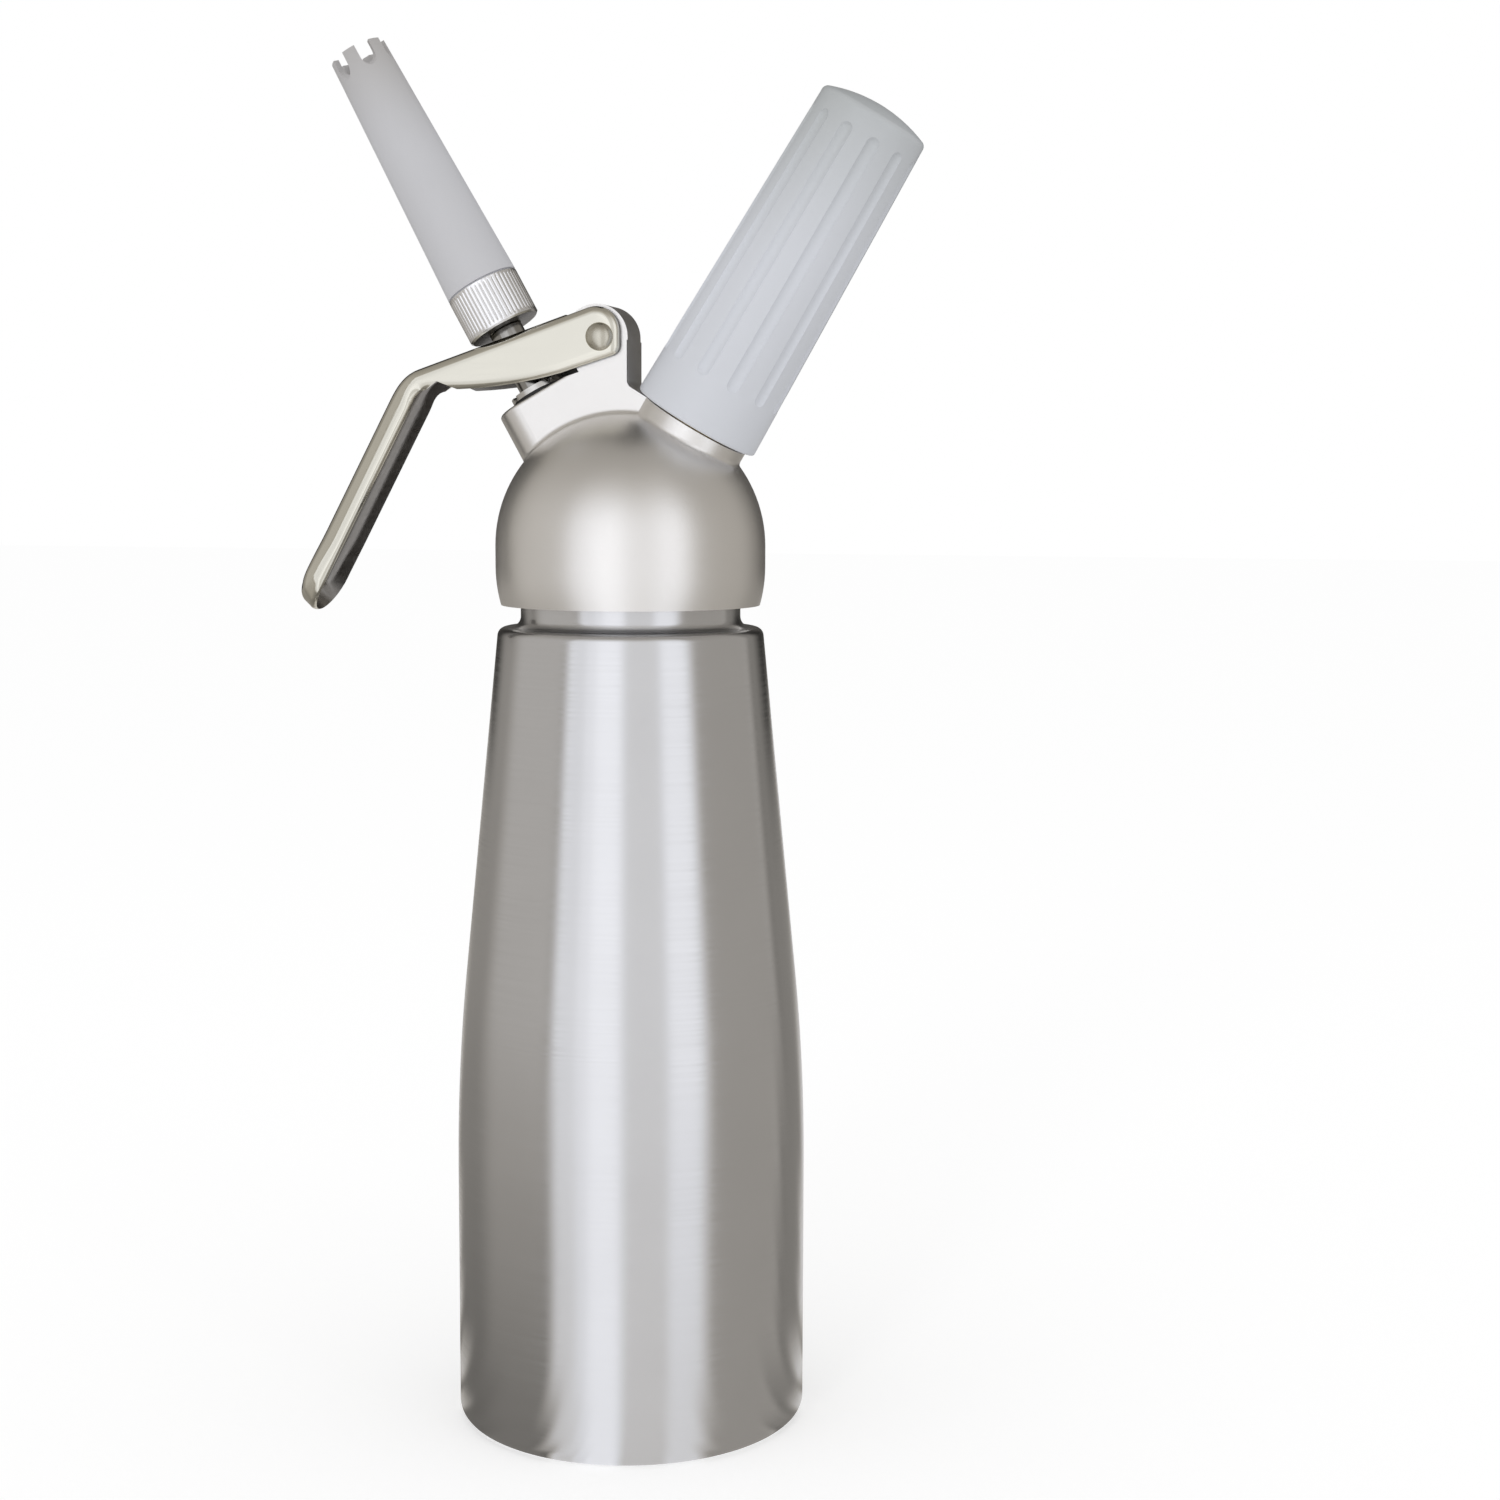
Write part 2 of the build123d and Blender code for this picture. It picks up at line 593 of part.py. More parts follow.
SOCKET_LOW = COLLAR_LIFT + COLLAR_THREAD_H
COLLAR_TOP = COLLAR_LIFT + COLLAR_H
TIP_SEAT = STEM_TOP + 1.3
TIP_TOP = COLLAR_TOP + TIP_H


def make_nozzle_collar():
    """Aluminium ring nut: threaded below, with a socket for the tip above."""
    outline = [
        (STEM_R + THREAD_CLEAR, COLLAR_LIFT),
        (COLLAR_R, COLLAR_LIFT),
        (COLLAR_R, COLLAR_TOP),
        (TIP_SPIGOT_R, COLLAR_TOP),
        (TIP_SPIGOT_R, SOCKET_LOW),
        (STEM_R + THREAD_CLEAR, SOCKET_LOW),
    ]
    collar = turned(edges_of(outline))
    rims = collar.edges().filter_by(GeomType.CIRCLE).sort_by(SortBy.RADIUS)[-2:]
    return VALVE * chamfer(rims, 0.35)


def make_nozzle_gasket():
    """Small ring on top of the stem that seals the tip."""
    return VALVE * ring(STEM_R + 0.05, STEM_BORE_R + 0.2, STEM_TOP + SEAT_GAP, TIP_SEAT)


def tip_channel_r(height):
    """Half width of the tip's channel at a height above the boss."""
    share = (height - COLLAR_TOP) / TIP_H
    return TIP_BASE_R + (TIP_MOUTH_R - TIP_BASE_R) * share - TIP_WALL


def make_decorator_tip():
    """Frosted plastic tip with a notched crown."""
    body = turned(edges_of([
        (0, SOCKET_LOW),
        (TIP_SPIGOT_R, SOCKET_LOW),
        (TIP_SPIGOT_R, COLLAR_TOP),
        (TIP_BASE_R, COLLAR_TOP),
        (TIP_MOUTH_R, TIP_TOP),
        (0, TIP_TOP),
    ]))
    landing = COLLAR_TOP + TIP_LANDING
    channel = turned(edges_of([
        (0, SOCKET_LOW - 1),
        (STEM_R + 2 * THREAD_CLEAR, SOCKET_LOW - 1),
        (STEM_R + 2 * THREAD_CLEAR, TIP_SEAT),
        (STEM_BORE_R + 0.6, TIP_SEAT),
        (STEM_BORE_R + 0.6, COLLAR_TOP),
        (tip_channel_r(landing), landing),
        (tip_channel_r(TIP_TOP), TIP_TOP),
        (tip_channel_r(TIP_TOP), TIP_TOP + 1),
        (0, TIP_TOP + 1),
    ]))
    tip = body - channel
    for tooth in range(TEETH):
        angle = 360 / TEETH * (tooth + 0.5) + 90
        tip -= Rot(0, 0, angle) * crown_notch()
    return VALVE * tip


def crown_notch():
    """A round-bottomed notch that slopes down and outwards through the tip's wall."""
    slope = 38
    long = 4 * TIP_MOUTH_R
    floor = Rot(0, 90 + slope, 0) * Cylinder(NOTCH_W / 2, long)
    flare = Rot(0, slope, 0) * Pos(0, 0, long / 4) * Box(long, NOTCH_W, long / 2)
    middle = Pos(TIP_MOUTH_R - TIP_WALL / 2, 0, TIP_TOP - NOTCH_DEPTH + NOTCH_W / 2)
    keep = Pos(TIP_MOUTH_R, 0, TIP_TOP) * Box(2 * TIP_WALL + 3, 2 * NOTCH_W, long)
    return (middle * (floor + flare)) & keep


# -------------------------------------------------------------------------------- lever

def lever_outline(inset):
    """Side view of the lever. inset moves the sheet's outer face in and opens the free edge."""
    arm_deg = 180 + ARM_SLOPE
    handle_deg = 270 - HANDLE_LEAN
    arm_at = from_pivot(0, ARM_ABOVE_PIVOT - inset)
    outer_corner = from_pivot(ARM_LENGTH, ARM_ABOVE_PIVOT)
    handle_at = moved_on(outer_corner, handle_deg + 90, inset)
    corner = crossing_of(arm_at, arm_deg, handle_at, handle_deg)
    nose_x = PIVOT[0] + NOSE_REACH + (5 if inset else 0)
    nose_top = crossing_of(arm_at, arm_deg, (nose_x, 0), 90)
    handle_foot = moved_on(handle_at, handle_deg, HANDLE_LENGTH + HANDLE_DEPTH * 2)
    open_by = 6 if inset else 0
    free_at = moved_on(outer_corner, handle_deg + 90, HANDLE_DEPTH + open_by)
    free_foot = moved_on(free_at, handle_deg, HANDLE_LENGTH + HANDLE_DEPTH * 2)
    edge_at = moved_on(PIVOT, CHEEK_SLOPE - 90, CHEEK_BELOW_PIVOT + open_by)
    nose_low = crossing_of(edge_at, CHEEK_SLOPE, (nose_x, 0), 90)
    belly_start = moved_on(edge_at, CHEEK_SLOPE + 180, BELLY_START)
    belly_mid = (PIVOT[0] + BELLY_MID[0], PIVOT[1] + BELLY_MID[1] - open_by)
    belly_end = (PIVOT[0] + BELLY_END[0], PIVOT[1] + BELLY_END[1] - open_by)
    inner_corner = crossing_of(belly_end, 180, free_at, handle_deg)
    belly = ThreePointArc(belly_start, belly_mid, belly_end)
    rest = Polyline(
        belly_end, inner_corner, free_foot, handle_foot, corner, nose_top, nose_low, belly_start
    )
    face = make_face([belly] + list(rest.edges()))
    wanted = [(corner, OUTER_BEND - inset)]
    if not inset:
        wanted += [(inner_corner, INNER_BEND)]
        wanted += [(nose_top, NOSE_TOP_FILLET), (nose_low, NOSE_LOW_FILLET)]
    for point, radius in wanted:
        spot = min(face.vertices(), key=lambda v: (v.X - point[0]) ** 2 + (v.Y - point[1]) ** 2)
        face = fillet(spot, radius)
    return Plane.XZ * face


def toe_cut(inset):
    """What is cut off the handle's end to leave a closed toe, round in plan and sloping back."""
    outer_corner = from_pivot(ARM_LENGTH, ARM_ABOVE_PIVOT)
    tip = moved_on(outer_corner, 270 - HANDLE_LEAN, HANDLE_LENGTH)
    frame = Plane(
        origin=(tip[0], 0, tip[1]),
        x_dir=(-cos(radians(TOE_LEAN)), 0, -sin(radians(TOE_LEAN))),
        z_dir=(-sin(radians(TOE_LEAN)), 0, cos(radians(TOE_LEAN))),
    )
    size = 8 * LEVER_HALF_W
    beyond = Pos(size / 2 - LEVER_HALF_W, 0, 0) * Box(size, size, size)
    keep = Pos(-LEVER_HALF_W, 0, 0) * Cylinder(LEVER_HALF_W - inset, 2 * size)
    return frame * (beyond - keep)


def make_lever():
    """The pressed steel lever: a folded channel with cheeks, a bend and a closed toe."""
    outer = slab(lever_outline(0), LEVER_HALF_W) - toe_cut(0)
    outer = fillet(folded_edges(outer), SHEET_BEND)
    inner = slab(lever_outline(SHEET), LEVER_INNER_HALF) - toe_cut(SHEET)
    inner = fillet(folded_edges(inner, SHEET), SHEET_BEND - SHEET)
    lever = outer - inner
    lever -= stem_slot()
    lever -= ear_gap()
    pin_hole = Plane(origin=(PIVOT[0], 0, PIVOT[1]), z_dir=(0, 1, 0))
    lever -= pin_hole * Cylinder(PIN_R, 4 * LEVER_HALF_W)
    return lever


def folded_edges(block, inset=0):
    """The long edges of the sheet's outer face: along the arm, round the bend and the toe."""
    wanted = []
    for edge in block.edges():
        spots = [edge @ t for t in (0.15, 0.5, 0.85)]
        if all(on_outer_face(p, inset) for p in spots):
            if not all(abs(p.Y) < LEVER_HALF_W - inset - 0.5 for p in spots) or is_toe(edge):
                wanted.append(edge)
    return wanted


def is_toe(edge):
    """Whether an edge is the curved one across the handle's end."""
    return edge.geom_type == GeomType.ELLIPSE


def on_outer_face(point, inset):
    """Whether a point lies on the sheet's outer face, given as arm, bend and handle."""
    handle_deg = 270 - HANDLE_LEAN
    outer_corner = from_pivot(ARM_LENGTH, ARM_ABOVE_PIVOT)
    arm_n = Vector(ARM_UP[0], ARM_UP[1])
    hx, hz = cos(radians(handle_deg - 90)), sin(radians(handle_deg - 90))
    here = Vector(point.X - outer_corner[0], point.Z - outer_corner[1])
    above_arm = here.dot(arm_n) + inset
    beyond_handle = here.dot(Vector(hx, hz)) + inset
    on_arm = abs(above_arm) < 0.01
    on_handle = abs(beyond_handle) < 0.01
    turn = 90 - HANDLE_LEAN - ARM_SLOPE
    back = OUTER_BEND / cos(radians(turn / 2))
    centre = Vector(*moved_on((0, 0), 180 + ARM_SLOPE + turn / 2 + 90, back))
    on_bend = abs((here - centre).length - (OUTER_BEND - inset)) < 0.02
    return on_arm or on_handle or on_bend


def stem_slot():
    """Slot in the arm's web that the stem passes, long enough for the whole travel."""
    web_mid = ARM_ABOVE_PIVOT - SHEET / 2
    pressed_at = PIVOT_OFFSET
    rest_at = PIVOT_OFFSET * cos(PRESS_LEAN) + sin(PRESS_LEAN) * (
        (web_mid + PIVOT_OFFSET * sin(PRESS_LEAN)) / cos(PRESS_LEAN)
    )
    half_w = STEM_R + 0.45
    near = pressed_at - STEM_R - 0.5
    far = rest_at + STEM_R + 0.6
    middle = from_pivot((near + far) / 2, web_mid)
    frame = Plane(
        origin=(middle[0], 0, middle[1]),
        x_dir=(ARM_DIR[0], 0, ARM_DIR[1]),
        z_dir=(ARM_UP[0], 0, ARM_UP[1]),
    )
    outline = SlotOverall(far - near, 2 * half_w)
    return frame * extrude(outline, amount=3 * SHEET, both=True)


def ear_gap():
    """Opens the web between the cheeks where the casting's ear stands up, at rest and pressed."""
    fold_r = SHEET_BEND - SHEET
    into_fold = max(0, EAR_HALF_T - (LEVER_INNER_HALF - fold_r))
    lowest = WEB_UNDERSIDE - fold_r + sqrt(fold_r ** 2 - into_fold ** 2)
    swung = radians(ARM_SLOPE + LEVER_PRESS)
    ahead = EAR_AHEAD * cos(swung) - EAR_RISE * sin(swung)
    raised = EAR_AHEAD * sin(swung) + EAR_RISE * cos(swung)
    clear = ahead + sqrt(EAR_R ** 2 - (lowest - raised) ** 2)
    length = clear + EASY + 15
    middle = from_pivot(clear + EASY - length / 2, ARM_ABOVE_PIVOT)
    frame = Plane(
        origin=(middle[0], 0, middle[1]),
        x_dir=(ARM_DIR[0], 0, ARM_DIR[1]),
        z_dir=(ARM_UP[0], 0, ARM_UP[1]),
    )
    return frame * Box(length, 2 * LEVER_INNER_HALF, 4 * SHEET)


def make_lever_pin():
    """Rivet with two domed heads."""
    face_at = LEVER_HALF_W + SEAT_GAP
    crown = crown_arc(PIN_HEAD_R, face_at, face_at + PIN_HEAD_H)
    rest = Polyline(
        (0, face_at + PIN_HEAD_H), (0, 0), (PIN_R, 0), (PIN_R, face_at), (PIN_HEAD_R, face_at)
    )
    half = turned([crown] + list(rest.edges()))
    rivet = half + mirror(half, about=Plane.XY)
    return Plane(origin=(PIVOT[0], 0, PIVOT[1]), z_dir=(0, 1, 0)) * rivet


# ------------------------------------------------------------------------------ charger

CUP_R = CHARGER_NECK_R + 0.4
CUP_FLOOR = POST_H - POST_CUP_DEPTH
MOUTH = CUP_FLOOR + INLET_GASKET_T + SEAT_GAP
CHARGER_END = MOUTH + CHARGER_L
HOLDER_BORE_R = CHARGER_R + 0.5
HOLDER_THREAD_R = POST_R + THREAD_CLEAR
HOLDER_R = POST_R + HOLDER_WALL
HOLDER_TOP_R = HOLDER_BORE_R + HOLDER_TOP_WALL
HOLDER_END = CHARGER_END + EASY + HOLDER_END_WALL


def make_charger_post():
    """Brass post: threaded into the head, threaded outside for the holder, cupped for the neck."""
    outline = [
        (GAS_BORE_R, -POST_PLUG_H),
        (POST_PLUG_R, -POST_PLUG_H),
        (POST_PLUG_R, 0),
        (POST_NECK_R, 0),
        (POST_NECK_R, POST_NECK_H),
        (POST_R, POST_NECK_H + 0.8),
        (POST_R, POST_H),
        (CUP_R, POST_H),
        (CUP_R, CUP_FLOOR),
        (PIN_POINT_R, CUP_FLOOR),
        (PIN_POINT_R, CUP_FLOOR - 2),
        (GAS_BORE_R / 2, CUP_FLOOR - 2),
        (GAS_BORE_R / 2, -POST_PLUG_H + 2),
        (GAS_BORE_R, -POST_PLUG_H + 2),
    ]
    post = turned(edges_of(outline))
    top_rim = post.edges().filter_by(GeomType.CIRCLE).filter_by_position(
        Axis.Z, POST_H - 0.01, POST_H + 0.01
    )
    return CHARGER * chamfer(top_rim, 0.5)


def make_piercing_pin():
    """Hollow steel pin that pierces the charger's seal."""
    bore = PIN_POINT_R * 0.45
    point = MOUTH + PIERCE_DEPTH
    outline = [
        (bore, CUP_FLOOR - 2),
        (PIN_POINT_R, CUP_FLOOR - 2),
        (PIN_POINT_R, point - 1.2),
        (bore + 0.12, point),
        (bore, point),
    ]
    return CHARGER * turned(edges_of(outline))


def make_inlet_gasket():
    """Rubber ring in the post's cup that the charger's mouth presses on."""
    return CHARGER * ring(CUP_R - SEAT_GAP, INLET_GASKET_BORE_R, CUP_FLOOR, CUP_FLOOR + INLET_GASKET_T)


def make_inlet_check_valve():
    """Rubber duckbill below the post that lets gas in and nothing back."""
    top = -POST_PLUG_H - 3 - SEAT_GAP
    low = top - CHECK_VALVE_H
    outline = [
        (GAS_BORE_R * 0.8, top),
        (CHECK_VALVE_R, top),
        (CHECK_VALVE_R, top - 1.1),
        (CHECK_VALVE_R * 0.62, top - 1.1),
        (GAS_BORE_R * 1.1, low),
        (0, low),
        (0, low + 0.6),
        (GAS_BORE_R * 0.8, top - 1.2),
    ]
    return CHARGER * turned(edges_of(outline))


def charger_side(inset):
    """The capsule's side from its shoulder to its round end, offset inwards."""
    neck_r = CHARGER_NECK_R - inset
    body_r = CHARGER_R - inset
    neck_top = MOUTH + CHARGER_NECK_L
    shoulder_top = neck_top + CHARGER_SHOULDER_L
    round_from = CHARGER_END - CHARGER_R
    middle = ((neck_r + body_r) / 2, (neck_top + shoulder_top) / 2)
    flare = TangentArc((neck_r, neck_top), middle, tangent=(0, 1))
    round_out = TangentArc((body_r, shoulder_top), middle, tangent=(0, -1))
    wall = Line((body_r, shoulder_top), (body_r, round_from))
    end_z = CHARGER_END - inset
    bulge = (body_r * cos(radians(45)), round_from + body_r * sin(radians(45)))
    cap = ThreePointArc((body_r, round_from), bulge, (0, end_z))
    return [flare, round_out, wall, cap], (neck_r, neck_top), (0, end_z)


def make_n2o_charger():
    """Steel gas capsule, neck down."""
    side, neck_top, end = charger_side(0)
    rest = Polyline(
        end, (0, MOUTH), (CHARGER_NECK_R, MOUTH), (CHARGER_NECK_R, MOUTH + 1.4),
        (CHARGER_NECK_R - 0.4, MOUTH + 1.8), (CHARGER_NECK_R - 0.4, MOUTH + 3.4), neck_top,
    )
    capsule = turned(side + list(rest.edges()))
    inner, inner_neck, inner_end = charger_side(CHARGER_WALL)
    close = Polyline(inner_end, (0, MOUTH + 3), (inner_neck[0], MOUTH + 3), inner_neck)
    hollow = turned(inner + list(close.edges()))
    mouth = ring(CAP_R, 0, MOUTH - 1, MOUTH + 1) + ring(CAP_R - 1.2, 0, MOUTH, MOUTH + 4)
    return CHARGER * (capsule - hollow - mouth)


def make_charger_seal_cap():
    """Thin cap in the capsule's mouth, pierced."""
    top = MOUTH + 1
    return CHARGER * ring(CAP_R, PIN_POINT_R + 0.1, top - CAP_T, top)


def holder_wall_r(height):
    """Outer radius of the holder at a height above its boss."""
    share = (height - HOLDER_LIFT) / (HOLDER_END - HOLDER_CROWN - HOLDER_LIFT)
    return HOLDER_R + (HOLDER_TOP_R - HOLDER_R) * share


def make_charger_holder():
    """Moulded plastic holder with lengthwise flutes, threaded inside its open end."""
    corner = (HOLDER_TOP_R, HOLDER_END - HOLDER_CROWN)
    crown = crown_arc(corner[0], corner[1], HOLDER_END)
    rest = Polyline((0, HOLDER_END), (0, HOLDER_LIFT), (HOLDER_R, HOLDER_LIFT), corner)
    holder = turned([crown] + list(rest.edges()))
    holder = fillet(holder.edges().filter_by_position(Axis.Z, corner[1] - 0.01, corner[1] + 0.01),
                    HOLDER_EDGE)
    thread_top = POST_H + 0.8
    bore_top = CHARGER_END - CHARGER_R
    hollow = ring(HOLDER_THREAD_R, 0, HOLDER_LIFT - 1, thread_top)
    hollow += ring(HOLDER_BORE_R, 0, 0, bore_top)
    hollow += Pos(0, 0, bore_top) * Sphere(HOLDER_BORE_R)
    holder -= hollow
    for flute in range(FLUTES):
        holder -= Rot(0, 0, FLUTE_PHASE + flute * 360 / FLUTES) * flute_tool()
    low_rim = holder.edges().filter_by_position(Axis.Z, HOLDER_LIFT - 0.01, HOLDER_LIFT + 0.01)
    return CHARGER * fillet(low_rim.sort_by(SortBy.RADIUS)[-1], 0.5)


def flute_tool():
    """A round-ended bar laid along the holder's tapered wall."""
    low = HOLDER_LIFT + FLUTE_LOW
    high = HOLDER_END - FLUTE_HIGH
    stand = FLUTE_R - FLUTE_DEPTH
    start = Vector(holder_wall_r(low) + stand, 0, low)
    stop = Vector(holder_wall_r(high) + stand, 0, high)
    bar = Plane(origin=start, z_dir=stop - start) * Pos(0, 0, (stop - start).length / 2)
    tool = bar * Cylinder(FLUTE_R, (stop - start).length)
    return tool + Pos(start) * Sphere(FLUTE_R) + Pos(stop) * Sphere(FLUTE_R)


# -------------------------------------------------------------------------------- write

PARTS = {
    "bottle": make_bottle,
    "head_casting": make_head_casting,
    "head_gasket": make_head_gasket,
    "guide_washer": make_guide_washer,
    "valve_guide_nut": make_valve_guide_nut,
    "valve_stem": make_valve_stem,
    "stem_o_ring": make_stem_o_ring,
    "valve_seal": make_valve_seal,
    "seal_nut": make_seal_nut,
    "valve_spring": make_valve_spring,
    "thrust_nut": make_thrust_nut,
    "nozzle_collar": make_nozzle_collar,
    "nozzle_gasket": make_nozzle_gasket,
    "decorator_tip": make_decorator_tip,
    "lever": make_lever,
    "lever_pin": make_lever_pin,
    "charger_post": make_charger_post,
    "piercing_pin": make_piercing_pin,
    "inlet_gasket": make_inlet_gasket,
    "inlet_check_valve": make_inlet_check_valve,
    "n2o_charger": make_n2o_charger,
    "charger_seal_cap": make_charger_seal_cap,
    "charger_holder": make_charger_holder,
}

for name, make in PARTS.items():
    export_step(make(), f"parts/{name}.step")
    print("wrote", name)
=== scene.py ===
"""Looks of a half-litre whipped cream dispenser, built round its fixed CAD frame.

Lengths in the classes are millimetres and are turned to metres when a mesh is made, apart from the
studio's, which say what they are. The bottle's axis is Z, +X points to the gas charger's holder
and -X to the nozzle and the lever.
"""

from __future__ import annotations

import logging
import math
from dataclasses import dataclass, field
from enum import Enum
from typing import Any, Callable

import bmesh
import bpy
import numpy as np
from mathutils import Matrix, Vector

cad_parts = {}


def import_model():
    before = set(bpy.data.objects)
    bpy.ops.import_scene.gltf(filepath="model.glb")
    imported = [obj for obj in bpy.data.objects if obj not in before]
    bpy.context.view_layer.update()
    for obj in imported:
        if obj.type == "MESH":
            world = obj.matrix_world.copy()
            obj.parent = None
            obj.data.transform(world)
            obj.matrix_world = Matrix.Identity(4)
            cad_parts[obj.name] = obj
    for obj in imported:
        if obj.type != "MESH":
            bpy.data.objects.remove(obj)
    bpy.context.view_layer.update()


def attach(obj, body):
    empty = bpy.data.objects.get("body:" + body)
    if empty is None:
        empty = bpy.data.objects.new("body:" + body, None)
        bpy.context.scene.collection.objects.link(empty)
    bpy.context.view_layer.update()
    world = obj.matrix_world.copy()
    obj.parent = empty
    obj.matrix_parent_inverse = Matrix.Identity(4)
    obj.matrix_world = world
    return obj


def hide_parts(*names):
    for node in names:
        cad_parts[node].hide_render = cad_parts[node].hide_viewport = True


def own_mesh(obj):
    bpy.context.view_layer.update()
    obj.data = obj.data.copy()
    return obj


Array = np.ndarray
Faces = list[list[int]]
# Points in mm, (n, 3), and the vertex numbers of each face.
Shape = tuple[Array, Faces]
Tree = bpy.types.NodeTree
Socket = bpy.types.NodeSocket
MM = 0.001
# Lengths in mm: what counts as nothing, as the same radius, and as the same point of a mesh.
TINY, SAME, WELD = 1e-6, 0.01, 0.001
# Smallest turn of a path, in radians, that is rounded.
STRAIGHT = 1e-4
# Where most of the values of a noise lie.
NOISE_SPAN = (0.3, 0.7)
log = logging.getLogger("dispenser")


# ------------------------------------------------------------------------------ helpers


def linear(hex_code: str) -> tuple[float, float, float, float]:
    """Turns an sRGB hex value into linear red, green, blue and alpha.

    Args:
        hex_code: six hex digits after a '#'.

    Returns:
        Four floats, the last 1.
    """
    s = np.array([int(hex_code[i : i + 2], 16) for i in (1, 3, 5)]) / 255
    rgb = np.where(s <= 0.04045, s / 12.92, ((s + 0.055) / 1.055) ** 2.4)
    return (float(rgb[0]), float(rgb[1]), float(rgb[2]), 1.0)


def add_node(
    tree: Tree,
    kind: str,
    inputs: dict[str | int, Any] | None = None,
    **settings: Any,
) -> bpy.types.Node:
    """Adds a node, with its settings, values and links.

    Args:
        tree: the node tree that gets it.
        kind: the node's type name.
        inputs: a value, or an output socket to link, for each named or numbered input.
        **settings: the node's own properties.

    Returns:
        The new node.
    """
    node = tree.nodes.new(kind)
    for key, value in settings.items():
        setattr(node, key, value)
    for key, value in (inputs or {}).items():
        if isinstance(value, Socket):
            tree.links.new(value, node.inputs[key])
        else:
            node.inputs[key].default_value = value
    return node


def bare_material(name: str) -> bpy.types.Material:
    """A new material without nodes."""
    material = bpy.data.materials.new(name)
    material.use_nodes = True
    material.node_tree.nodes.clear()
    return material


def seen_by_lens(tree: Tree) -> Socket:
    """1 for camera, glossy and transmission rays, else 0."""
    path = add_node(tree, "ShaderNodeLightPath")
    seen = path.outputs["Is Camera Ray"]
    for kind in ("Is Glossy Ray", "Is Transmission Ray"):
        pair = {0: seen, 1: path.outputs[kind]}
        seen = add_node(tree, "ShaderNodeMath", pair, operation="MAXIMUM").outputs[0]
    return seen


def noise(tree: Tree, place: Socket, scale: float, detail: float) -> Socket:
    """Smooth noise from 0 to 1, with that many clouds to a unit of place."""
    inputs = {"Vector": place, "Scale": scale, "Detail": detail}
    return add_node(tree, "ShaderNodeTexNoise", inputs).outputs["Fac"]


def mapped(
    tree: Tree, value: Socket, span: tuple[float, float], onto: tuple[float, float], **settings: str
) -> Socket:
    """A value moved from one span onto another and kept inside it."""
    inputs = {"Value": value, "From Min": span[0], "From Max": span[1]}
    inputs |= {"To Min": onto[0], "To Max": onto[1]}
    return add_node(tree, "ShaderNodeMapRange", inputs, **settings).outputs["Result"]


def mixed(tree: Tree, share: Socket, none: Any, full: Any) -> Socket:
    """A colour between two others, each a socket or a value."""
    inputs = {0: share, 6: none, 7: full}
    return add_node(tree, "ShaderNodeMix", inputs, data_type="RGBA").outputs[2]


def add_object(name: str, data: Any) -> bpy.types.Object:
    """Puts an object with that data into the scene."""
    thing = bpy.data.objects.new(name, data)
    bpy.context.scene.collection.objects.link(thing)
    return thing


def add_mesh(name: str, points: list, faces: Faces) -> bpy.types.Object:
    """Puts a mesh object into the scene."""
    mesh = bpy.data.meshes.new(name)
    mesh.from_pydata(points, [], faces)
    return add_object(name, mesh)


def smooth(s: Array) -> Array:
    """A step with a soft start and end, for s from 0 to 1: 3 s^2 - 2 s^3."""
    return s * s * (3 - 2 * s)


def fade(value: Array, low: float, high: float, over: float) -> Array:
    """A smooth step up at low and down at high, each over a given length."""
    return smooth(np.clip(np.minimum(value - low, high - value) / over, 0, 1))


def grid_faces(rows: int, cols: int, round_rows: bool = False) -> Array:
    """Quads of a grid of points whose columns close on themselves.

    Args:
        rows: points along the profile.
        cols: points round.
        round_rows: whether the last row also joins the first.

    Returns:
        (n, 4) vertex numbers, with (row, col) at row * cols + col.
    """
    i = np.arange(rows if round_rows else rows - 1)[:, None]
    j = np.arange(cols)[None, :]
    here, there = i * cols, ((i + 1) % rows) * cols
    nxt = (j + 1) % cols
    return np.stack([here + j, here + nxt, there + nxt, there + j], axis=-1).reshape(-1, 4)


def rounded_path(corners: Any, step: float, arc_step: float = 9.0) -> Array:
    """Samples a chain of straight runs with rounded corners.

    At a corner with radius R and turning angle a, the arc starts R * tan(a / 2) before the corner.

    Args:
        corners: n rows of radius, height and rounding, in mm.
        step: longest piece, in mm.
        arc_step: most degrees that one piece of an arc may turn.

    Returns:
        (m, 2) points.
    """
    corners = np.array(corners, dtype=float)
    points = [corners[0, :2]]
    for k in range(1, len(corners) - 1):
        here, r = corners[k, :2], corners[k, 2]
        back, on = corners[k - 1, :2] - here, corners[k + 1, :2] - here
        back, on = back / np.linalg.norm(back), on / np.linalg.norm(on)
        turn = math.pi - math.acos(float(np.clip(back @ on, -1, 1)))
        if r <= 0 or turn < STRAIGHT:
            points.append(here)
            continue
        reach = r * math.tan(turn / 2)
        middle = here + (back + on) / np.linalg.norm(back + on) * (r / math.cos(turn / 2))
        first = here + back * reach - middle
        last = here + on * reach - middle
        count = max(2, math.ceil(turn / math.radians(arc_step)), math.ceil(r * turn / step))
        t = np.linspace(0, 1, count + 1)[:, None]
        arc = (np.sin((1 - t) * turn) * first + np.sin(t * turn) * last) / math.sin(turn)
        points.extend(middle + arc)
    points.append(corners[-1, :2])
    chain = np.array(points)
    out = [chain[:1]]
    for a, b in zip(chain[:-1], chain[1:]):
        count = max(1, math.ceil(float(np.linalg.norm(b - a)) / step))
        out.append(a + (b - a) * np.linspace(0, 1, count + 1)[1:, None])
    return np.concatenate(out)


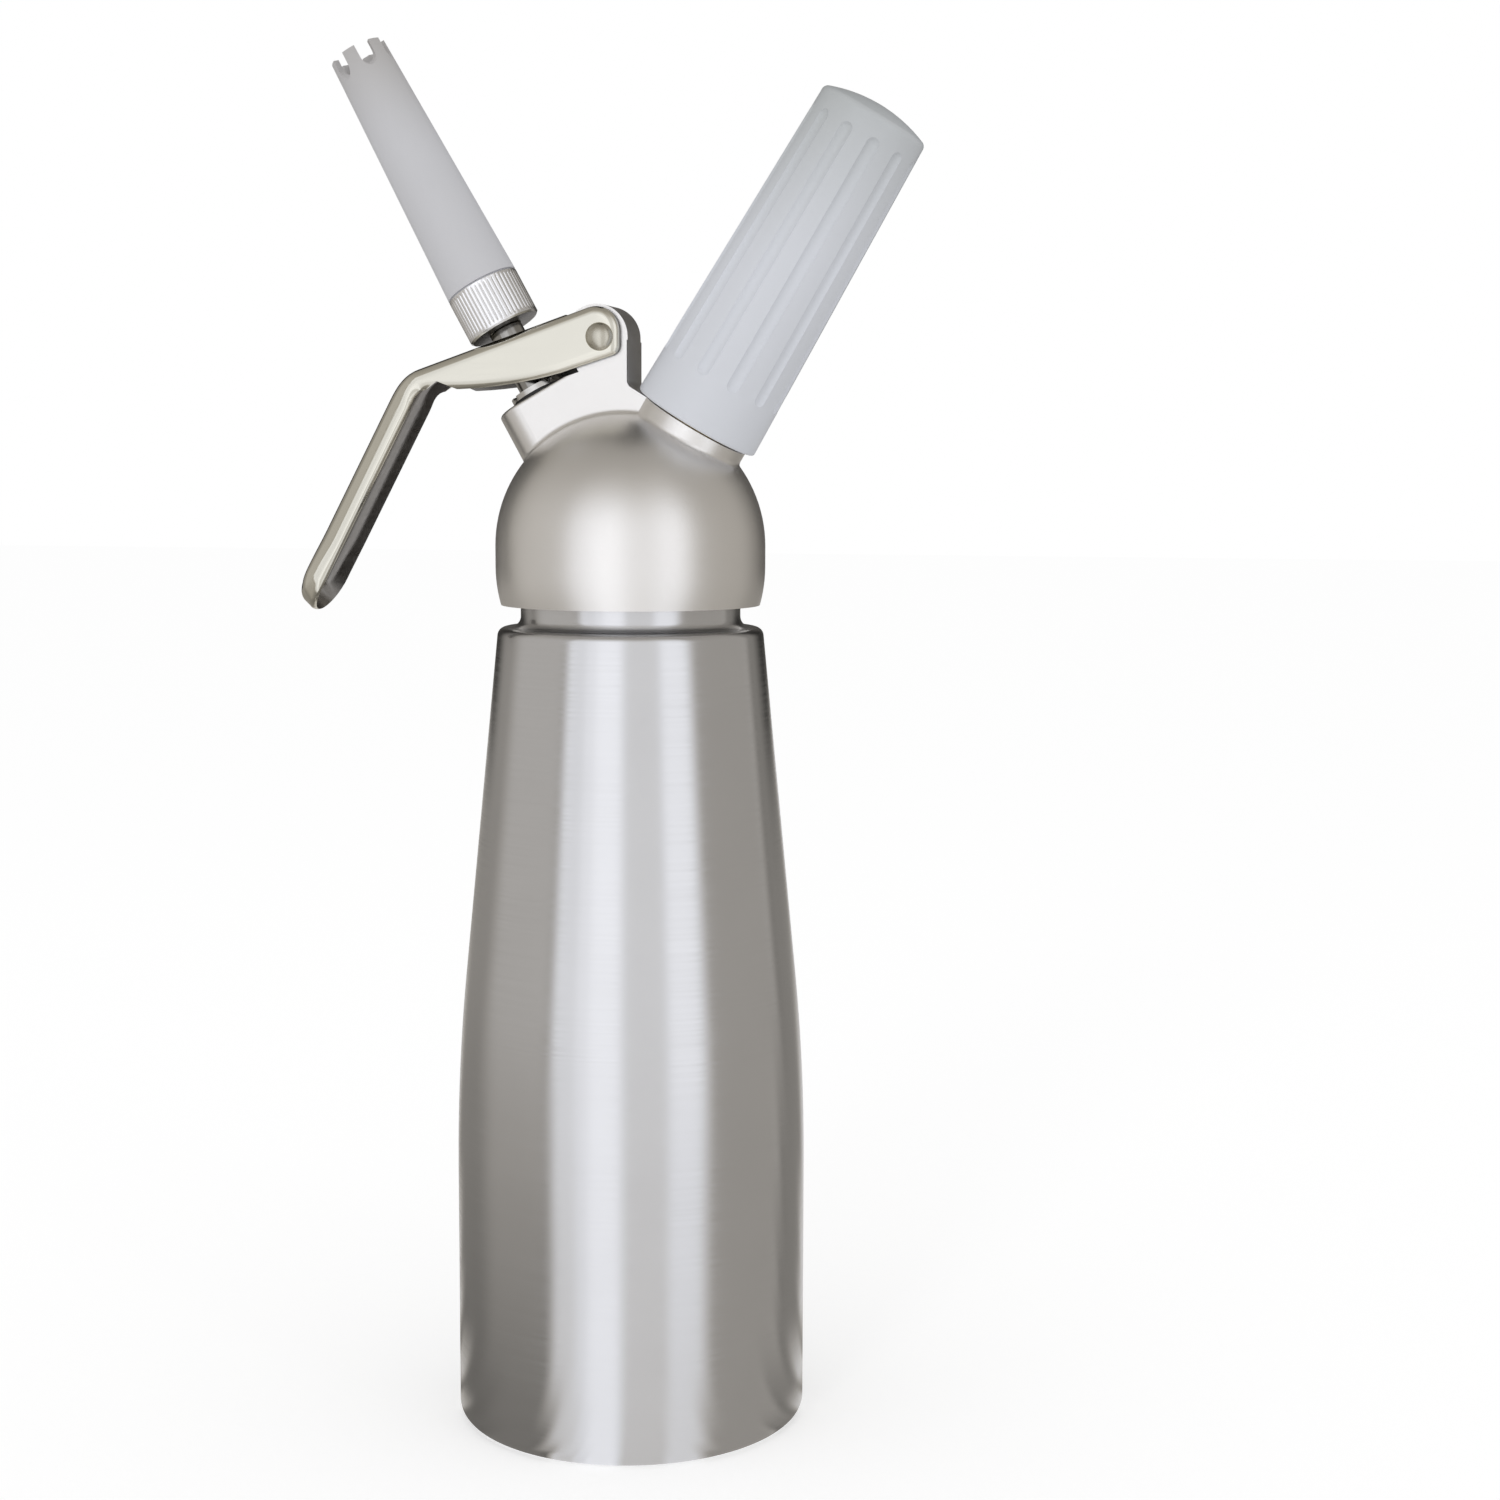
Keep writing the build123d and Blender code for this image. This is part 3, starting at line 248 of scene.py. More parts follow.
@dataclass(frozen=True)
class Port:
    """A leaning axis of the head: its own X lies away from the bottle and its Z runs outwards."""

    origin: tuple[float, float, float]
    tilt: float
    side: int

    def axes(self) -> Array:
        """Rows are the port's X, Y and Z axes in the object's frame."""
        a = math.radians(self.tilt)
        x = np.array([self.side * math.cos(a), 0, -math.sin(a)])
        z = np.array([self.side * math.sin(a), 0, math.cos(a)])
        return np.array([x, np.cross(z, x), z])

    def place(self, points: Array) -> Array:
        """Moves points of the port's frame into the object's frame: p = o + x X + y Y + z Z."""
        return np.array(self.origin) + points @ self.axes()


UPRIGHT = Port((0, 0, 0), 0, 1)
VALVE = Port((-21.3832, 0, 238.7760), 29, -1)
CHARGER = Port((15.2545, 0, 232.1880), 31, 1)


@dataclass(frozen=True)
class Thread:
    """A screw thread cut into a cylinder between two heights, each end faded over its runout."""

    crest: float
    pitch: float
    depth: float
    low: float
    high: float
    runout: float
    step: float

    def rows(self, stop: float) -> list[tuple[float, float, float]]:
        """Corners of a profile, up to a height and close enough to carry the thread."""
        return [(self.crest, h, 0) for h in np.arange(self.low, stop, self.step)]

    def cut(self, r: Array, h: Array, a: Array) -> Array:
        """Cuts r - depth (1 - ridge), where ridge is clip(1/2 + 0.85 cos(2 pi h / pitch - a)).

        Args:
            r: (n, m) radii.
            h: (n, m) heights.
            a: (n, m) angles.

        Returns:
            The radii, changed where they are the crest's.
        """
        turns = h / self.pitch - a / (2 * np.pi)
        ridge = np.clip(0.5 + 0.85 * np.cos(2 * np.pi * turns), 0, 1)
        share = fade(h, self.low, self.high, self.runout)
        return np.where(np.abs(r - self.crest) < SAME, r - self.depth * (1 - ridge) * share, r)


def lathe(
    profile: Array,
    around: int,
    port: Port,
    radius: Callable[[Array, Array, Array], Array] | None = None,
) -> Shape:
    """Turns a profile about a port's axis: (r, h) -> (r cos a, r sin a, h).

    Args:
        profile: (n, 2) radius and height in mm. A radius of 0 at an end closes it with a pole, and
            a profile whose ends meet becomes a ring.
        around: points round.
        port: the axis.
        radius: gives new radii from radii, heights and angles, each (n, around).

    Returns:
        The shape in the object's frame, its faces turned outwards.
    """
    closed = bool(np.allclose(profile[0], profile[-1]))
    start = int(profile[0, 0] < TINY)
    stop = len(profile) - int(profile[-1, 0] < TINY or closed)
    rings = profile[start:stop]
    a = np.linspace(0, 2 * np.pi, around, endpoint=False)[None, :]
    r = np.repeat(rings[:, :1], around, axis=1)
    h = np.repeat(rings[:, 1:], around, axis=1)
    angle = np.repeat(a, len(rings), axis=0)
    if radius is not None:
        r = radius(r, h, angle)
    points = np.stack([r * np.cos(angle), r * np.sin(angle), h], axis=-1).reshape(-1, 3)
    faces = grid_faces(len(rings), around, closed).tolist()
    j = np.arange(around)
    after, last = (j + 1) % around, (len(rings) - 1) * around
    poles = [(profile[0, 1], after, j)] if start else []
    if profile[-1, 0] < TINY and not closed:
        poles.append((profile[-1, 1], last + j, last + after))
    for height, one, other in poles:
        faces += np.stack([np.full(around, len(points)), one, other], axis=-1).tolist()
        points = np.concatenate([points, [[0.0, 0.0, height]]])
    points = port.place(points)
    return points, outward(points, faces)


def make_piece(
    name: str, shape: Shape, finish: Finish, body: str, smooth_below: float = 35
) -> bpy.types.Object:
    """Makes a mesh object at the origin that rides on a CAD body.

    Args:
        name: the piece's name.
        shape: its points in the object's frame and its faces.
        finish: its finish.
        body: the CAD body that carries it.
        smooth_below: edges that turn less than this many degrees are shaded smooth.

    Returns:
        The new object.
    """
    points, faces = shape
    piece = add_mesh(name, (points * MM).tolist(), faces)
    mesh = piece.data
    mesh.validate()
    mesh.polygons.foreach_set("use_smooth", np.ones(len(mesh.polygons), dtype=bool))
    mesh.set_sharp_from_angle(angle=math.radians(smooth_below))
    mesh.materials.append(finish.build())
    mesh.update()
    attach(piece, body)
    log.info("%s: %d points, %d faces, on %s", name, len(points), len(faces), body)
    return piece


def volume_of(points: Array, faces: Faces) -> float:
    """The signed volume inside closed faces: the sum of a . (b x c) / 6 over their triangles."""
    total = 0.0
    for size in (3, 4):
        f = np.array([x for x in faces if len(x) == size], dtype=int)
        if len(f):
            for k in range(1, size - 1):
                a, b, c = points[f[:, 0]], points[f[:, k]], points[f[:, k + 1]]
                total += float(np.einsum("ij,ij->", a, np.cross(b, c))) / 6
    return total


def outward(points: Array, faces: Faces) -> Faces:
    """Turns every face round if the closed surface encloses a negative volume."""
    return [f[::-1] for f in faces] if volume_of(points, faces) < 0 else faces


def cut_out(shape: Shape, tool: Shape) -> Shape:
    """What is left of one closed shape when another is cut out of it."""
    pair = [add_mesh(name, p.tolist(), f) for name, (p, f) in (("shape", shape), ("tool", tool))]
    cutting = pair[0].modifiers.new("cut", "BOOLEAN")
    cutting.operation, cutting.solver, cutting.object = "DIFFERENCE", "EXACT", pair[1]
    graph = bpy.context.evaluated_depsgraph_get()
    left = bpy.data.meshes.new_from_object(pair[0].evaluated_get(graph))
    places = np.zeros(len(left.vertices) * 3)
    left.vertices.foreach_get("co", places)
    faces = [list(face.vertices) for face in left.polygons]
    # Removing a mesh also removes the object that shows it.
    for mesh in (left, pair[0].data, pair[1].data):
        bpy.data.meshes.remove(mesh)
    return places.reshape(-1, 3), faces


def face_sides(mesh: bpy.types.Mesh) -> tuple[Array, Array]:
    """The centres in mm and the normals of a mesh's faces, each (n, 3)."""
    centres, normals = np.zeros((2, len(mesh.polygons) * 3))
    mesh.polygons.foreach_get("center", centres)
    mesh.polygons.foreach_get("normal", normals)
    return centres.reshape(-1, 3) / MM, normals.reshape(-1, 3)


def refinish(piece: bpy.types.Object, finish: Finish, chosen: Array) -> None:
    """Gives a second finish to the faces for which chosen, (n,), is true."""
    piece.data.materials.append(finish.build())
    piece.data.polygons.foreach_set("material_index", chosen.astype(np.int32))
    log.info("%s: %d of %d faces are %s", piece.name, int(chosen.sum()), len(chosen), finish.name)


def dress(finishes: dict[str, Finish]) -> None:
    """Gives each of these CAD nodes its finish."""
    for node, finish in finishes.items():
        piece = bpy.data.objects[node]
        piece.data.materials.clear()
        piece.data.materials.append(finish.build())
        log.info("%s: %s", node, finish.name)


# ----------------------------------------------------------------------------- finishes


class Lay(Enum):
    """Which way the marks of a finish run."""

    ROUND_BOTTLE = (0.0, (40.0, 40.0, 0.5263))
    ROUND_VALVE = (-29.0, (16.67, 16.67, 0.4545))
    ALONG_ARM = (-19.0, (16.67, 1.111, 1.111))
    NONE = (0.0, (1.0, 1.0, 1.0))

    @property
    def lean(self) -> float:
        """Degrees by which the pattern's axis leans in the upright plane."""
        return self.value[0]

    @property
    def mark(self) -> tuple[float, float, float]:
        """Size of a mark in mm along the pattern's own X, Y and Z."""
        return self.value[1]


@dataclass(frozen=True)
class PaintedShadeAbove:
    """Painted shade: a darker colour that takes over between two heights in mm."""

    colour: str
    low: float
    high: float


@dataclass(frozen=True)
class Finish:
    """A material with a fine uneven grain in its roughness and relief.

    grain_mm is the size of the grain, relief_mm its depth, and uneven the share by which the
    roughness changes from place to place. blotch is the share by which the colour drifts, in
    clouds of cloud_mm.
    """

    name: str
    colour: str
    roughness: float
    metallic: float = 0.0
    grain_mm: float = 0.5
    relief_mm: float = 0.01
    uneven: float = 0.15
    lay: Lay = Lay.NONE
    anisotropy: float = 0.0
    blotch: float = 0.03
    cloud_mm: float = 18.18
    # A darker colour over the upper part, as painted shade.
    painted_shade_above: PaintedShadeAbove | None = None

    def build(self) -> bpy.types.Material:
        """Returns the material, made once for each name."""
        known = bpy.data.materials.get(self.name)
        if known:
            return known
        material = bare_material(self.name)
        tree = material.node_tree
        place = add_node(tree, "ShaderNodeTexCoord").outputs["Object"]
        grain = self.grain(tree, place)
        relief = {"Height": grain, "Strength": 1.0, "Distance": self.relief_mm * MM}
        rough = (self.roughness * (1 - self.uneven), self.roughness * (1 + self.uneven))
        inputs = {
            "Base Color": self.tint(tree, place),
            "Roughness": mapped(tree, grain, NOISE_SPAN, rough),
            "Metallic": self.metallic,
            "Normal": add_node(tree, "ShaderNodeBump", relief).outputs["Normal"],
        }
        if self.anisotropy:
            way = add_node(tree, "ShaderNodeTangent", direction_type="RADIAL", axis="Z")
            inputs |= {
                "Anisotropic": self.anisotropy,
                "Anisotropic Rotation": 0.25,
                "Tangent": way.outputs["Tangent"],
            }
        shader = add_node(tree, "ShaderNodeBsdfPrincipled", inputs)
        add_node(tree, "ShaderNodeOutputMaterial", {"Surface": shader.outputs["BSDF"]})
        return material

    def grain(self, tree: Tree, place: Socket) -> Socket:
        """The grain's height, from 0 to 1: even noise, or noise drawn out along the marks."""
        if self.lay is Lay.NONE:
            return noise(tree, place, 1 / (self.grain_mm * MM), 2.0)
        turned = {
            "Vector": place,
            "Rotation": (0.0, math.radians(self.lay.lean), 0.0),
            "Scale": tuple(1 / (size * MM) for size in self.lay.mark),
        }
        marks = add_node(tree, "ShaderNodeMapping", turned, vector_type="POINT")
        return noise(tree, marks.outputs["Vector"], 1.0, 3.0)

    def tint(self, tree: Tree, place: Socket) -> Socket:
        """The colour, which drifts in clouds and may turn into a darker one with height, as painted
        shade.
        """
        cloud = noise(tree, place, 1 / (self.cloud_mm * MM), 3.0)
        lower = self.blotched(tree, cloud, self.colour)
        if self.painted_shade_above is None:
            return lower
        height = add_node(tree, "ShaderNodeSeparateXYZ", {"Vector": place}).outputs["Z"]
        ends = (self.painted_shade_above.low * MM, self.painted_shade_above.high * MM)
        share = mapped(tree, height, ends, (0.0, 1.0), interpolation_type="SMOOTHSTEP")
        return mixed(tree, share, lower, self.blotched(tree, cloud, self.painted_shade_above.colour))

    def blotched(self, tree: Tree, cloud: Socket, colour: str) -> Socket:
        """A colour that drifts a little darker and lighter with the cloud."""
        base = linear(colour)[:3]
        darker = tuple(c * (1 - self.blotch) for c in base) + (1.0,)
        lighter = tuple(min(1.0, c * (1 + self.blotch)) for c in base) + (1.0,)
        return mixed(tree, cloud, darker, lighter)


# Drawn aluminium bottle, brushed round its axis: bands of light stay sharp across and smear
# along the axis. Real brush lines are about 0.1 mm, and they are drawn at 0.5 mm to show.
BRUSHED_BOTTLE = Finish(
    "aluminium_brushed", "#D8D8D9", 0.22, 1.0, relief_mm=0.0012, uneven=0.2,
    lay=Lay.ROUND_BOTTLE, anisotropy=0.55,
)
# Cast aluminium, bead blasted and clear anodised: a soft wide sheen with a fine even grain.
BLASTED_CASTING = Finish(
    "aluminium_bead_blasted", "#EFEDEA", 0.36, 1.0, grain_mm=0.55, relief_mm=0.01, uneven=0.1,
)
# Turned and straight-knurled aluminium: bright ridges and darker grooves. The rings that the
# lathe leaves are finer than the 0.45 mm they are drawn at.
KNURLED_ALUMINIUM = Finish(
    "aluminium_turned", "#F4F4F5", 0.24, 1.0, relief_mm=0.003, lay=Lay.ROUND_VALVE, uneven=0.2,
)
# Stainless sheet, pressed and polished: near-mirror with faint marks along the arm.
POLISHED_SHEET = Finish(
    "stainless_polished", "#DDDACE", 0.13, 1.0, relief_mm=0.0012, lay=Lay.ALONG_ARM, uneven=0.3,
    blotch=0.02,
)
# The same sheet's inner side: left dull as it came from the press, and painted a darker grey as
# painted shade inside the channel.
INSIDE_DULL_PAINTED_SHADE = Finish(
    "stainless_inside_dull_painted_shade", "#8F8C88", 0.32, 1.0, relief_mm=0.0006, lay=Lay.ALONG_ARM,
    blotch=0.05,
)
# Steel rivet, rounded by a header: satin with small dents.
HEADED_RIVET = Finish(
    "steel_rivet", "#C6C2B5", 0.26, 1.0, grain_mm=1.6, relief_mm=0.01, uneven=0.2,
)
# Turned stainless for the nuts: fine rings round the axis.
TURNED_STEEL = Finish(
    "stainless_turned", "#D2D0CC", 0.26, 1.0, relief_mm=0.003, lay=Lay.ROUND_VALVE, uneven=0.2,
)
# The stem, ground and polished where the nuts and the ring slide: a narrow glint, and a darker grey
# that is painted shade from its gap between the collar and the lever.
POLISHED_STEM_PAINTED_SHADE = Finish(
    "stainless_stem_painted_shade", "#A3A19D", 0.15, 1.0, relief_mm=0.001, lay=Lay.ROUND_VALVE,
    uneven=0.2,
)
# The collar's underside: dull, and painted dark grey as painted shade under the collar.
COLLAR_UNDERSIDE_PAINTED_SHADE = Finish("aluminium_underside_painted_shade", "#65625E", 0.4, 1.0, grain_mm=0.4, relief_mm=0.004)
# Drawn spring wire, dull.
SPRING_WIRE = Finish("spring_wire", "#B5B5B5", 0.32, 1.0, grain_mm=0.4, relief_mm=0.004)
# Zinc-plated steel capsule: cool satin with faint patches.
ZINC_CAPSULE = Finish(
    "steel_zinc_plated", "#C9CACC", 0.28, 1.0, grain_mm=0.7, relief_mm=0.004, blotch=0.06,
)
# Turned brass, plain.
TURNED_BRASS = Finish("brass_turned", "#D8BE86", 0.24, 1.0, grain_mm=0.4, relief_mm=0.004)
# Polypropylene tip, moulded in an etched cavity: frosted, with no clear reflections. Its upper
# part turns a darker brownish grey: painted shade where the thin wall shows the dark hollow.
FROSTED_TIP = Finish(
    "polypropylene_frosted", "#E2E2E6", 0.62, 0.0, grain_mm=0.35, relief_mm=0.012, blotch=0.02,
    painted_shade_above=PaintedShadeAbove("#C2BEBA", 292.0, 331.0),
)
# ABS holder, moulded satin. Its closed upper end turns greyer, which is painted shade.
MOULDED_HOLDER = Finish(
    "abs_moulded", "#F0F3FA", 0.4, 0.0, grain_mm=0.45, relief_mm=0.006, blotch=0.015,
    painted_shade_above=PaintedShadeAbove("#CACECE", 262.0, 318.0),
)
# Black vulcanised fibre washer: matt and dry.
BLACK_FIBRE = Finish("fibre_black", "#1C1B1A", 0.6, 0.0, grain_mm=0.3, relief_mm=0.015)
# Black nitrile seals: matt, slightly blotched.
NITRILE = Finish("nitrile_black", "#201F1E", 0.55, 0.0, grain_mm=0.5, relief_mm=0.01, blotch=0.1)
# Translucent silicone gaskets, milky.
SILICONE = Finish("silicone_milky", "#D8D6D0", 0.45, 0.0, grain_mm=0.5, relief_mm=0.006)


# ------------------------------------------------------------------------------- pieces


@dataclass
class Bottle:
    """The drawn bottle, with the neck's rolled thread.

    shoulder and dish are a radius and a height, and the foot is the inner radius of the standing
    ring.
    """

    radius: float = 40.69
    shoulder: tuple[float, float] = (30.5, 185.8)
    bend: float = 82.0
    bend_rounding: float = 469.0
    dish: tuple[float, float] = (32.0, 1.0)
    foot: float = 34.0
    foot_rounding: float = 3.0
    wall: float = 1.5
    floor: float = 2.5
    groove: float = 25.3
    groove_rounding: float = 2.5
    mouth: float = 22.5
    rim: float = 203.5
    thread: Thread = Thread(
        crest=26.6, pitch=3.2, depth=0.9, low=192.6, high=203.1, runout=1.6, step=0.26
    )
    around: int = 192

    def profile(self) -> Array:
        """Outline from the middle of the dished base, over the wall and rim, to the inner floor."""
        r, (sr, sz) = self.radius, self.shoulder
        taper = (r - sr) / (sz - self.bend)
        inside = r - self.wall
        top = sz - self.wall
        dish, dish_up = self.dish
        crest, low = self.thread.crest, self.thread.low
        corners = [
            (0, dish_up, 0), (dish, dish_up, 1.5), (self.foot, 0, 1.0), (r, 0, self.foot_rounding),
            (r, self.bend, self.bend_rounding), (sr, sz, 2.0), (self.groove, sz, self.groove_rounding),
            (self.groove, low - 1.3, 0), *self.thread.rows(self.rim - 0.6),
            (crest, self.rim, 0.5), (self.mouth, self.rim, 0.5), (self.mouth, top, 1.0),
            (inside - taper * (top - self.bend), top, 1.0), (inside, self.bend, self.bend_rounding),
            (inside, self.floor, self.foot_rounding), (0, self.floor, 0),
        ]
        return rounded_path(corners, 2.2)

    def build(self) -> None:
        """Makes the bottle in place of its CAD node."""
        shape = lathe(self.profile(), self.around, UPRIGHT, self.thread.cut)
        piece = make_piece("bottle_wall", shape, BRUSHED_BOTTLE, "bottle")
        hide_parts("bottle")


@dataclass
class Head:
    """The casting with its gasket, guide nut and washer, and the thread inside its skirt.

    The female thread runs 0.12 mm clear of the bottle's. shell is the thickness that carries it.
    """

    thread: Thread = Thread(
        crest=26.72, pitch=3.2, depth=0.9, low=193.2, high=203.0, runout=1.6, step=0.26
    )
    shell: float = 0.5
    around: int = 160

    def build(self) -> None:
        """Dresses the CAD nodes and adds the skirt's thread."""
        inner = np.array(self.thread.rows(self.thread.high))[:, :2]
        back = self.thread.crest + self.shell
        outer = np.array([[back, inner[-1, 1]], [back, inner[0, 1]], inner[0]])
        shape = lathe(np.concatenate([inner, outer]), self.around, UPRIGHT, self.thread.cut)
        piece = make_piece("skirt_thread", shape, BLASTED_CASTING, "head")
        dress(
            {
                "head_casting": BLASTED_CASTING, "head_gasket": SILICONE,
                "valve_guide_nut": TURNED_STEEL, "guide_washer": BLACK_FIBRE,
            }
        )


@dataclass
class Valve:
    """The stem with its cut thread, its spring and its seals.

    Of the stem's steps, foot, shank, piston and bore are a radius and the height of their lower
    end on the valve's axis, and groove and shoulder a radius and both heights.
    """

    foot: tuple[float, float] = (1.9, -30.15)
    shank: tuple[float, float] = (2.9, -25.55)
    piston: tuple[float, float] = (3.7, -21.2)
    groove: tuple[float, float, float] = (2.6, -20.4, -19.1)
    shoulder: tuple[float, float, float] = (5.3, -4.55, -3.05)
    bore: tuple[float, float] = (2.0, -24.35)
    top: float = 25.0
    thread: Thread = Thread(
        crest=3.95, pitch=1.25, depth=0.62, low=16.9, high=25.3, runout=1.25, step=0.12
    )
    coil: float = 4.55
    wire: float = 0.6
    turns: float = 5.0
    spring_low: float = -17.35
    spring_high: float = -5.2
    travel: float = 2.69

    def stem_profile(self) -> Array:
        """Outline of the hollow stem from its foot, up its outside and down its bore."""
        s = self.thread.crest
        (foot, foot_low), (shank, shank_low), (bore, bore_low) = self.foot, self.shank, self.bore
        piston, piston_low = self.piston
        groove, groove_low, groove_high = self.groove
        shoulder, shoulder_low, shoulder_high = self.shoulder
        corners = [
            (0, foot_low, 0), (foot, foot_low, 0.2), (foot, shank_low, 0), (shank, shank_low, 0.1),
            (shank, piston_low, 0), (piston, piston_low, 0.2), (piston, groove_low, 0),
            (groove, groove_low, 0), (groove, groove_high, 0), (piston, groove_high, 0),
            (piston, shoulder_low, 0), (shoulder, shoulder_low, 0.2),
            (shoulder, shoulder_high, 0.2), (s, shoulder_high, 0),
            *self.thread.rows(self.top - 0.5), (s, self.top, 0.4), (bore, self.top, 0.2),
            (bore, bore_low, 0), (0, bore_low, 0),
        ]
        return rounded_path(corners, 2.0)

    def spring_shape(self) -> Shape:
        """A round wire along a helix whose end turns lie flat.

        The centre line is (c cos t, c sin t, h(t)), where h stays level at both ends of the wire
        and rises evenly between, and the section is spanned by the outward direction and the axis.

        Returns:
            The shape in the object's frame.
        """
        n, m = 300, 12
        level_end = 0.12
        s = np.linspace(0, 1, n)
        t = 2 * np.pi * (self.turns + 1.5) * s
        risen = np.clip((s - level_end) / (1 - 2 * level_end), 0, 1)
        h = self.spring_low + (self.spring_high - self.spring_low) * risen
        out = np.stack([np.cos(t), np.sin(t), np.zeros(n)], axis=-1)
        centre = self.coil * out + np.stack([np.zeros(n), np.zeros(n), h], axis=-1)
        a = np.linspace(0, 2 * np.pi, m, endpoint=False)
        ring = (
            out[:, None, :] * np.cos(a)[None, :, None]
            + np.array([0, 0, 1.0])[None, None, :] * np.sin(a)[None, :, None]
        )
        points = (centre[:, None, :] + self.wire * ring).reshape(-1, 3)
        faces = grid_faces(n, m).tolist()
        faces += [list(range(m))[::-1], [(n - 1) * m + k for k in range(m)]]
        return VALVE.place(points), faces

    def build(self) -> None:
        """Makes stem and spring in place of their CAD nodes and dresses the seals."""
        shape = lathe(self.stem_profile(), 64, VALVE, self.thread.cut)
        # The stem's darker grey is painted shade.
        stem = make_piece("stem_turned", shape, POLISHED_STEM_PAINTED_SHADE, "valve")
        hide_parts("valve_stem")
        spring = make_piece("spring_coiled", self.spring_shape(), SPRING_WIRE, "head", 60)
        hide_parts("valve_spring")
        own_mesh(spring)
        dress(
            {
                "stem_o_ring": NITRILE, "valve_seal": NITRILE, "seal_nut": TURNED_STEEL,
                "thrust_nut": TURNED_STEEL,
            }
        )


@dataclass
class Nozzle:
    """The knurled collar and the frosted tip. plain is the height of each unknurled rim."""

    radius: float = 8.6
    low: float = 17.3
    high: float = 28.7
    bore: float = 4.05
    socket: float = 7.2
    socket_low: float = 23.5
    chamfer: float = 0.45
    plain: float = 0.7
    ridges: int = 48
    points_per_ridge: int = 10
    depth: float = 0.2

    def profile(self) -> Array:
        """Outline of the collar's section, closed."""
        first, last = self.low + 2 * self.chamfer, self.high - 2 * self.chamfer
        rows = [(self.radius, u, 0) for u in np.linspace(first, last, 24)]
        face = self.radius - self.chamfer
        corners = [
            (self.bore, self.low, 0), (face, self.low, 0.1),
            (self.radius, self.low + self.chamfer, 0.1), *rows,
            (self.radius, self.high - self.chamfer, 0.1), (face, self.high, 0.1),
            (self.socket, self.high, 0.1), (self.socket, self.socket_low, 0),
            (self.bore, self.socket_low, 0), (self.bore, self.low, 0),
        ]
        return rounded_path(corners, 1.5)

    def knurled(self, r: Array, h: Array, a: Array) -> Array:
        """Straight knurl: r - depth (1 - sqrt |cos(n a / 2)|) between the plain rims."""
        share = fade(h, self.low + self.plain, self.high - self.plain, 0.5)
        cut = self.depth * (1 - np.sqrt(np.abs(np.cos(self.ridges * a / 2))))
        return np.where(np.abs(r - self.radius) < SAME, r - cut * share, r)

    def underside(self, mesh: bpy.types.Mesh) -> Array:
        """(n,) true for the faces of the collar's lower end, which get the painted shade."""
        centres, normals = face_sides(mesh)
        axis = VALVE.axes()[2]
        height = (centres - np.array(VALVE.origin)) @ axis
        return (normals @ axis < -0.9) & (height < self.low + self.chamfer / 2)

    def build(self) -> None:
        """Makes the collar in place of its CAD node and dresses the tip."""
        around = self.ridges * self.points_per_ridge
        shape = lathe(self.profile(), around, VALVE, self.knurled)
        collar = make_piece("collar_knurled", shape, KNURLED_ALUMINIUM, "nozzle", 50)
        # The collar's lower end gets a dark grey: painted shade under the collar.
        refinish(collar, COLLAR_UNDERSIDE_PAINTED_SHADE, self.underside(collar.data))
        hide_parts("nozzle_collar")
        dress({"nozzle_gasket": SILICONE, "decorator_tip": FROSTED_TIP})


